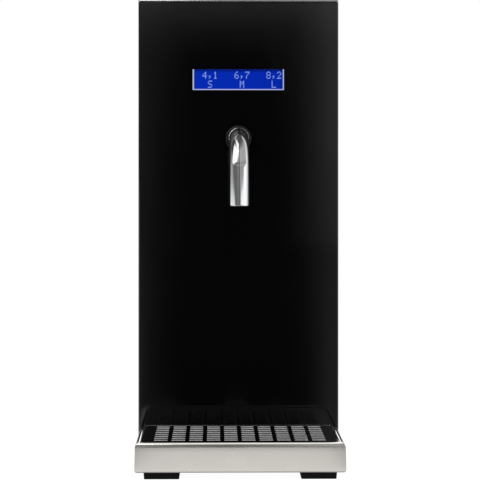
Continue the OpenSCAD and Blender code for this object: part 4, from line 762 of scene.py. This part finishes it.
# Grille
# A loose 1.2 mm stainless plate with ten by eight punched slots, which lies on the tray's ledge.
# Both faces are polished to a mirror; the cut edges of the slots are dull and grey from the punch.
grille_low, grille_high = box_mm("drip_grille")
columns, rows, pitch_x, pitch_y, slot_l, slot_w, slot_r = 10, 8, 18.2, 13.0, 13.3, 6.5, 1.2
field_back, slot_ease = -99.0, 0.3
field_mid = field_back - rows * pitch_y / 2
slot_x, slot_y, cell_x, cell_y = slot_l / 2, slot_w / 2, pitch_x / 2, pitch_y / 2
flat_x, flat_y = slot_x - slot_r, slot_y - slot_r
a = np.radians([22.5, 45, 67.5])
slot_corner = np.stack([flat_x + slot_r * np.cos(a), flat_y + slot_r * np.sin(a)], -1)
slot_quarter = np.array([[slot_x, 0], [slot_x, flat_y], *slot_corner, [flat_x, slot_y], [0, slot_y]])
cell_quarter = np.array([[cell_x, 0], [cell_x, flat_y], [cell_x, (flat_y + cell_y) / 2], [cell_x, cell_y],
                         [(cell_x + flat_x) / 2, cell_y], [flat_x, cell_y], [0, cell_y]])


def four_quarters(quarter):
    """A loop from its first quarter: the quarter, then its mirror images in turn."""
    return np.concatenate([quarter, quarter[::-1] * [-1, 1], -quarter, quarter[::-1] * [1, -1]])


slot_loop, cell_loop = four_quarters(slot_quarter), four_quarters(cell_quarter)
eased_loop = slot_loop * [1 + slot_ease / slot_x, 1 + slot_ease / slot_y]
plan = np.stack([cell_loop, eased_loop, slot_loop, slot_loop, eased_loop, cell_loop])
top, low = grille_high[2], grille_low[2]
heights = np.array([top, top, top - slot_ease, low + slot_ease, low, low])
middle_x = (np.arange(columns) - (columns - 1) / 2) * pitch_x
middle_y = (np.arange(rows) - (rows - 1) / 2) * pitch_y + field_mid
slot_plans = plan[None] + np.stack(np.meshgrid(middle_x, middle_y), -1).reshape(-1, 1, 1, 2)
slot_heights = np.broadcast_to(heights[None, :, None, None], (*slot_plans.shape[:3], 1))
slot_cells = np.concatenate([slot_plans, slot_heights], -1)


def edge_marks(quarter, middles):
    """Places of the cells' corner points along one side of the slotted field, in order and without repeats:
    each cell's middle less and plus the quarter's own places."""
    return np.unique(np.round(middles[:, None] + np.concatenate([-quarter, quarter]), 5))


field_x, field_y = edge_marks(cell_quarter[:, 0], middle_x), edge_marks(cell_quarter[:, 1], middle_y)
plate_left, plate_front, plate_right, plate_back = *grille_low[:2], *grille_high[:2]
all_x = np.concatenate([[plate_left], field_x, [plate_right]])
all_y = np.concatenate([[plate_front], field_y, [plate_back]])


def flat_strip(xs, ys, z):
    """A level grid over the given places in x and y."""
    gx, gy = np.meshgrid(xs, ys)
    return np.stack([gx, gy, np.full_like(gx, z)], -1)


def side_strip(xs, ys):
    """An upright wall along a line of places, from the plate's lower face to its upper one."""
    xs, ys = np.broadcast_arrays(xs, ys)
    return np.stack([np.stack([xs, ys, np.full(len(xs), z)], -1) for z in (low, top)])


margins = [flat_strip(xs, ys, z) for z in (low, top)
           for xs, ys in ((all_x, [plate_front, field_y[0]]), (all_x, [field_y[-1], plate_back]),
                          ([plate_left, field_x[0]], field_y), ([field_x[-1], plate_right], field_y))]
margins += [side_strip(all_x, plate_front), side_strip(all_x, plate_back),
            side_strip(plate_left, all_y), side_strip(plate_right, all_y)]
grille_steel, tree, place = new_finish("polished_stainless_plate")
broad = add(tree, "TexNoise", {"Vector": place, "Scale": 1000 / 30, "Detail": 3.0})
torn = add(tree, "TexNoise", {"Vector": place, "Scale": 1000 / 1.5, "Detail": 2.0})
height = add(tree, "SeparateXYZ", {"Vector": place})
off_middle = add(tree, "Math", {0: height.outputs["Z"], 1: (top + low) / 2 * MM}, operation="SUBTRACT")
off_middle = add(tree, "Math", {0: off_middle.outputs[0]}, operation="ABSOLUTE")
is_face = add(tree, "Math", {0: off_middle.outputs[0], 1: ((top - low) / 2 - 0.05) * MM},
              operation="GREATER_THAN").outputs[0]
cut = add(tree, "Mix", {0: torn.outputs["Fac"], 6: linear("#666668"), 7: linear("#C4C4C6")},
          data_type="RGBA")
plate = add(tree, "Mix", {0: broad.outputs["Fac"], 6: linear("#BDBEC0"), 7: linear("#C6C7C9")},
            data_type="RGBA")
shade = add(tree, "Mix", {0: is_face, 6: cut.outputs[2], 7: plate.outputs[2]}, data_type="RGBA")
polish = add(tree, "MapRange", {"Value": broad.outputs["Fac"], "To Min": 0.08, "To Max": 0.12})
matt = add(tree, "MapRange", {"Value": is_face, "To Min": 0.6, "To Max": polish.outputs[0]})
surface = add(tree, "BsdfPrincipled", {
    "Base Color": shade.outputs[2], "Metallic": is_face, "Roughness": matt.outputs[0]})
add(tree, "OutputMaterial", {"Surface": surface.outputs[0]})
make_piece("slotted_grille", "grille", grille_steel,
           list(slot_cells) + margins, ["drip_grille"], sharp=30)

# Studio
# A sheet of seamless white paper, a white room and soft lamps; the photograph's camera stands level with
# the upright end of the spout. Glass and polished metal mirror the paper and the room in tones of their own.
deg = np.pi / 180
camera_at, floor_half = (-0.025, -1.896, 0.304), 6.0
dark_middle, dark_half = 0.6 * deg, 3.35 * deg
floor_mesh = bpy.data.meshes.new("studio_floor")
floor_mesh.from_pydata([(x, y, 0) for y in (-floor_half, floor_half) for x in (-floor_half, floor_half)],
                       [], [(0, 1, 3, 2)])
floor_paint, tree, place = new_finish("white_seamless_paper")
ray = add(tree, "LightPath")
paper = add(tree, "TexNoise", {"Vector": place, "Scale": 1000 / 4, "Detail": 2.0})
tooth = add(tree, "Mix", {0: paper.outputs["Fac"], 6: linear("#F1F1F0"), 7: linear("#F6F6F5")},
            data_type="RGBA")
paper_skin = add(tree, "BsdfDiffuse", {"Color": tooth.outputs[2]})
# The camera sees the paper as a white ground that keeps a soft shadow of the object.
soft_paper = add(tree, "BsdfDiffuse", {"Color": linear("#5A5A5A")})
white = add(tree, "Emission", {"Color": (1, 1, 1, 1), "Strength": 0.96})
seen = add(tree, "AddShader", {0: soft_paper.outputs[0], 1: white.outputs[0]})
# Mirrored, the paper is bright only where it is near the object and hardly wider, and has a painted shadow
# under the tray.
ahead = add(tree, "SeparateXYZ", {"Vector": place})
off_axis = add(tree, "Math", {0: ahead.outputs["X"]}, operation="ABSOLUTE")
near = add(tree, "MapRange", {"Value": ahead.outputs["Y"], "From Min": -0.50, "From Max": -0.46},
           interpolation_type="SMOOTHSTEP")
near = add(tree, "MapRange", {"Value": off_axis.outputs[0], "From Min": 0.127, "From Max": 0.112,
                              "To Max": near.outputs[0]}, interpolation_type="SMOOTHSTEP")
near_tone = add(tree, "MapRange", {"Value": ahead.outputs["Y"], "From Min": -0.28, "From Max": -0.46,
                                   "To Min": 0.95, "To Max": 1.4})
# Painted shadow: the mirrored paper is darkened under the tray, where its shadow would fall.
painted_tray_shadow = add(tree, "MapRange", {"Value": ahead.outputs["Y"], "From Min": -0.245, "From Max": -0.232,
                                    "To Min": 1.0, "To Max": 0.45}, interpolation_type="SMOOTHSTEP")
near_tone = add(tree, "Math", {0: near_tone.outputs[0], 1: painted_tray_shadow.outputs[0]}, operation="MULTIPLY")
# Further ahead it is dark along the line on which the glass shows it to the camera, pale beside that line
# and white at both sides of the object.
mirror_y = 2 * flange_y * MM - camera_at[1]
away = add(tree, "Math", {0: mirror_y, 1: ahead.outputs["Y"]}, operation="SUBTRACT")
aim = add(tree, "Math", {0: ahead.outputs["X"], 1: camera_at[0]}, operation="SUBTRACT")
aim = add(tree, "Math", {0: aim.outputs[0], 1: away.outputs[0]}, operation="DIVIDE")
aim = add(tree, "Math", {0: aim.outputs[0], 1: np.tan(dark_middle)}, operation="SUBTRACT")
aim = add(tree, "Math", {0: aim.outputs[0]}, operation="ABSOLUTE")
far_tone = add(tree, "MapRange", {"Value": aim.outputs[0], "From Max": np.tan(dark_half)})
far_tone = add(tree, "Math", {0: far_tone.outputs[0], 1: 7.0}, operation="POWER")
far_tone = add(tree, "Math", {0: far_tone.outputs[0], 1: 0.22, 2: 0.004}, operation="MULTIPLY_ADD")
slant = add(tree, "Math", {0: ahead.outputs["X"], 1: ahead.outputs["Y"]}, operation="DIVIDE")
slant = add(tree, "Math", {0: slant.outputs[0]}, operation="ABSOLUTE")
beside = add(tree, "MapRange", {"Value": slant.outputs[0], "From Min": 0.5, "From Max": 0.9},
             interpolation_type="SMOOTHSTEP")
far_tone = add(tree, "MapRange", {"Value": beside.outputs[0], "To Min": far_tone.outputs[0], "To Max": 0.95})
paper_tone = add(tree, "MapRange", {"Value": near.outputs[0], "To Min": far_tone.outputs[0],
                                    "To Max": near_tone.outputs[0]})
mirrored_paper = add(tree, "Emission", {"Color": (1, 1, 1, 1), "Strength": paper_tone.outputs[0]})
lit = add(tree, "MixShader", {0: ray.outputs["Is Glossy Ray"], 1: paper_skin.outputs[0],
                              2: mirrored_paper.outputs[0]})
surface = add(tree, "MixShader", {0: ray.outputs["Is Camera Ray"], 1: lit.outputs[0], 2: seen.outputs[0]})
add(tree, "OutputMaterial", {"Surface": surface.outputs[0]})
floor_mesh.materials.append(floor_paint)
floor = bpy.data.objects.new("studio_floor", floor_mesh)
bpy.context.scene.collection.objects.link(floor)

# Mirrored, the room is white apart from a dark front, between a soft box at the left and a bright wall at
# the right, and a dark ceiling.
room = bpy.data.worlds.new("white_room")
bpy.context.scene.world = room
room.use_nodes = True
tree = room.node_tree
tree.nodes.clear()
ray = add(tree, "LightPath")
way = add(tree, "SeparateXYZ", {"Vector": add(tree, "TexCoord").outputs["Generated"]})
rise, side = way.outputs["Z"], way.outputs["X"]
front = add(tree, "Math", {0: way.outputs["Y"], 1: -1.0}, operation="MULTIPLY").outputs[0]
bearing = add(tree, "Math", {0: side, 1: front}, operation="ARCTAN2").outputs[0]


def bent_line(tree, value, points):
    """A curve of straight stretches through (value, result) points: the first stretch, plus the rise of
    each later one."""
    total = None
    for (at, result), (next_at, next_result) in zip(points, points[1:]):
        base = result if total is None else 0.0
        stretch = add(tree, "MapRange", {"Value": value, "From Min": at, "From Max": next_at,
                                         "To Min": base, "To Max": base + next_result - result}).outputs[0]
        if total is None:
            total = stretch
        else:
            total = add(tree, "Math", {0: total, 1: stretch}, operation="ADD").outputs[0]
    return total


# The front is darkest straight ahead; its tone rises to both sides and, in two bands, upwards.
off_dark = add(tree, "Math", {0: bearing, 1: dark_middle}, operation="SUBTRACT")
off_dark = add(tree, "Math", {0: off_dark.outputs[0]}, operation="ABSOLUTE")
sideways = bent_line(tree, off_dark.outputs[0], [(0, 0), (dark_half, 1)])
pale = add(tree, "Math", {0: sideways, 1: 5.0}, operation="POWER")
pale_by_rise = bent_line(tree, rise, [(-0.1, 0.17), (0.03, 0.3), (0.75, 0.28), (0.9, 0.12)])
pale = add(tree, "Math", {0: pale.outputs[0], 1: pale_by_rise}, operation="MULTIPLY")
pale_by_bearing = bent_line(tree, bearing, [(-40 * deg, 0.5), (-8 * deg, 0.97), (-2.7 * deg, 0.68),
                                            (4.3 * deg, 1.48), (15 * deg, 1.3)])
pale = add(tree, "Math", {0: pale.outputs[0], 1: pale_by_bearing, 2: 0.002}, operation="MULTIPLY_ADD")
upward = add(tree, "Math", {0: bent_line(tree, rise, [(0.06, 0), (0.107, 1)]), 1: 3.0}, operation="POWER")
bands = bent_line(tree, rise, [(0.112, 0.34), (0.125, 0), (0.22, 0), (0.3, 0.13), (0.8, 0.13), (0.95, 0.02)])
front_tone = add(tree, "Math", {0: upward.outputs[0], 1: bands, 2: pale.outputs[0]},
                 operation="MULTIPLY_ADD")

# The soft box and the wall under it at the left, the bright wall at the right, the white room elsewhere.
soft_box = add(tree, "MapRange", {"Value": bearing, "From Min": -94 * deg, "From Max": -84 * deg},
               interpolation_type="SMOOTHSTEP")
for outer, inner in ((0.06, 0.18), (0.82, 0.75)):
    soft_box = add(tree, "MapRange", {"Value": rise, "From Min": outer, "From Max": inner,
                                      "To Max": soft_box.outputs[0]}, interpolation_type="SMOOTHSTEP")
left_wall = bent_line(tree, rise, [(-0.0134, 1.15), (0.007, 0.42), (0.2, 0.3), (0.36, 0.07)])
left_tone = add(tree, "MapRange", {"Value": soft_box.outputs[0], "To Min": left_wall, "To Max": 1.4})
right_tone = bent_line(tree, front, [(-0.4, 0.62), (0.1, 1.4)])
wall_tone = add(tree, "MapRange", {"Value": side, "From Min": -0.05, "From Max": 0.05,
                                   "To Min": left_tone.outputs[0], "To Max": right_tone},
                interpolation_type="SMOOTHSTEP")
sideward = add(tree, "Math", {0: side}, operation="ABSOLUTE")
wall_tone = add(tree, "MapRange", {"Value": sideward.outputs[0], "From Min": 0.35, "From Max": 0.6,
                                   "To Min": 1.4, "To Max": wall_tone.outputs[0]},
                interpolation_type="SMOOTHSTEP")

# The front lies between two leaning edges: the left one swings in above the foot of the soft box, the right
# one swings out just above the horizon.
left_edge = bent_line(tree, rise, [(-0.0134, -50 * deg), (0.007, -80 * deg), (0.08, -80 * deg),
                                   (0.26, -28 * deg), (0.55, -12 * deg)])
right_edge = bent_line(tree, rise, [(-0.001, 18 * deg), (0.007, 48 * deg), (0.11, 86 * deg),
                                    (0.4, 89 * deg), (0.85, 112 * deg)])
past_left = add(tree, "Math", {0: bearing, 1: left_edge}, operation="SUBTRACT")
past_right = add(tree, "Math", {0: bearing, 1: right_edge}, operation="SUBTRACT")
is_front = add(tree, "MapRange", {"Value": past_right.outputs[0], "From Min": 5 * deg, "From Max": -5 * deg},
               interpolation_type="SMOOTHSTEP")
is_front = add(tree, "MapRange", {"Value": past_left.outputs[0], "From Min": -5 * deg, "From Max": 5 * deg,
                                  "To Max": is_front.outputs[0]}, interpolation_type="SMOOTHSTEP")

# The ceiling is dark overhead, and lower down in a patch behind.
off_patch = add(tree, "Math", {0: side, 1: 0.1}, operation="ADD")
off_patch = add(tree, "Math", {0: off_patch.outputs[0]}, operation="ABSOLUTE")
ceiling = add(tree, "MapRange", {"Value": off_patch.outputs[0], "From Min": 0.7, "From Max": 0.5},
              interpolation_type="SMOOTHSTEP")
for value, outer, inner in ((front, 0.05, -0.1), (rise, 0.82, 0.94)):
    ceiling = add(tree, "MapRange", {"Value": value, "From Min": outer, "From Max": inner,
                                     "To Max": ceiling.outputs[0]}, interpolation_type="SMOOTHSTEP")
overhead = add(tree, "MapRange", {"Value": rise, "From Min": 0.93, "From Max": 0.98},
               interpolation_type="SMOOTHSTEP")
ceiling = add(tree, "Math", {0: ceiling.outputs[0], 1: overhead.outputs[0]}, operation="MAXIMUM")
tone = add(tree, "MapRange", {"Value": is_front.outputs[0], "To Min": wall_tone.outputs[0],
                              "To Max": front_tone.outputs[0]})
tone = add(tree, "MapRange", {"Value": ceiling.outputs[0], "To Min": tone.outputs[0], "To Max": 0.1})
ambient = add(tree, "Background", {"Color": (1, 1, 1, 1), "Strength": 0.55})
mirrored = add(tree, "Background", {"Color": (1, 1, 1, 1), "Strength": tone.outputs[0]})
plain = add(tree, "Background", {"Color": (1, 1, 1, 1), "Strength": 1.0})
unseen = add(tree, "MixShader", {0: ray.outputs["Is Glossy Ray"], 1: ambient.outputs[0],
                                 2: mirrored.outputs[0]})
last = add(tree, "MixShader", {0: ray.outputs["Is Camera Ray"], 1: unseen.outputs[0], 2: plain.outputs[0]})
add(tree, "OutputWorld", {"Surface": last.outputs[0]})


def soft_lamp(name, at, look_at, width, depth, power, mirrored=False):
    """A soft box of the given width and depth at a place, turned to face a point. The camera doesn't see it,
    and polished surfaces do only where it says so, at first hand and not in a second mirror."""
    lamp = bpy.data.lights.new(name, "AREA")
    lamp.shape = "RECTANGLE"
    lamp.size = width
    lamp.size_y = depth
    lamp.energy = power
    stand = bpy.data.objects.new(name, lamp)
    stand.location = at
    back = np.subtract(at, look_at)
    tilt = np.arctan2(np.hypot(back[0], back[1]), back[2])
    stand.rotation_euler = (tilt, 0, np.arctan2(back[1], back[0]) + np.pi / 2)
    stand.visible_camera = False
    stand.visible_glossy = mirrored
    stand.visible_transmission = False
    if mirrored:
        lamp.use_nodes = True
        bounces = add(lamp.node_tree, "LightPath").outputs["Ray Depth"]
        first = add(lamp.node_tree, "Math", {0: bounces, 1: 2.5}, operation="LESS_THAN")
        lamp.node_tree.links.new(first.outputs[0], lamp.node_tree.nodes["Emission"].inputs["Strength"])
    bpy.context.scene.collection.objects.link(stand)


# Places and sizes are in metres, powers in watts.
soft_lamp("left_soft_box", (-1.6, -1.5, 1.5), (0, 0, 0.25), 1.2, 1.2, 24)
soft_lamp("right_soft_box", (1.7, -1.2, 1.2), (0, 0, 0.25), 1.2, 1.2, 18)
soft_lamp("top_soft_box", (0, 0.1, 2.2), (0, 0, 0.25), 1.4, 1.4, 18)
# Two small reflectors: one over the tray for its rolled edge and the slots, one left of the lid's edge.
soft_lamp("tray_reflector", (0, -0.195, 0.227), (0, -0.2185, 0.13), 0.24, 0.195, 0.155, mirrored=True)
soft_lamp("lid_reflector", (-0.16, -0.35, 0.575), (-0.03, -0.06, 0.502), 0.16, 0.08, 0.15, mirrored=True)

lens = bpy.data.cameras.new("photo_lens")
lens.sensor_width = 36
lens.lens = 123.4
lens.shift_y = -0.125
camera = bpy.data.objects.new("photo_camera", lens)
camera.location = camera_at
camera.rotation_euler = (np.pi / 2, 0, -0.845 * deg)
bpy.context.scene.collection.objects.link(camera)
bpy.context.scene.camera = camera
bpy.context.scene.view_settings.view_transform = "Standard"
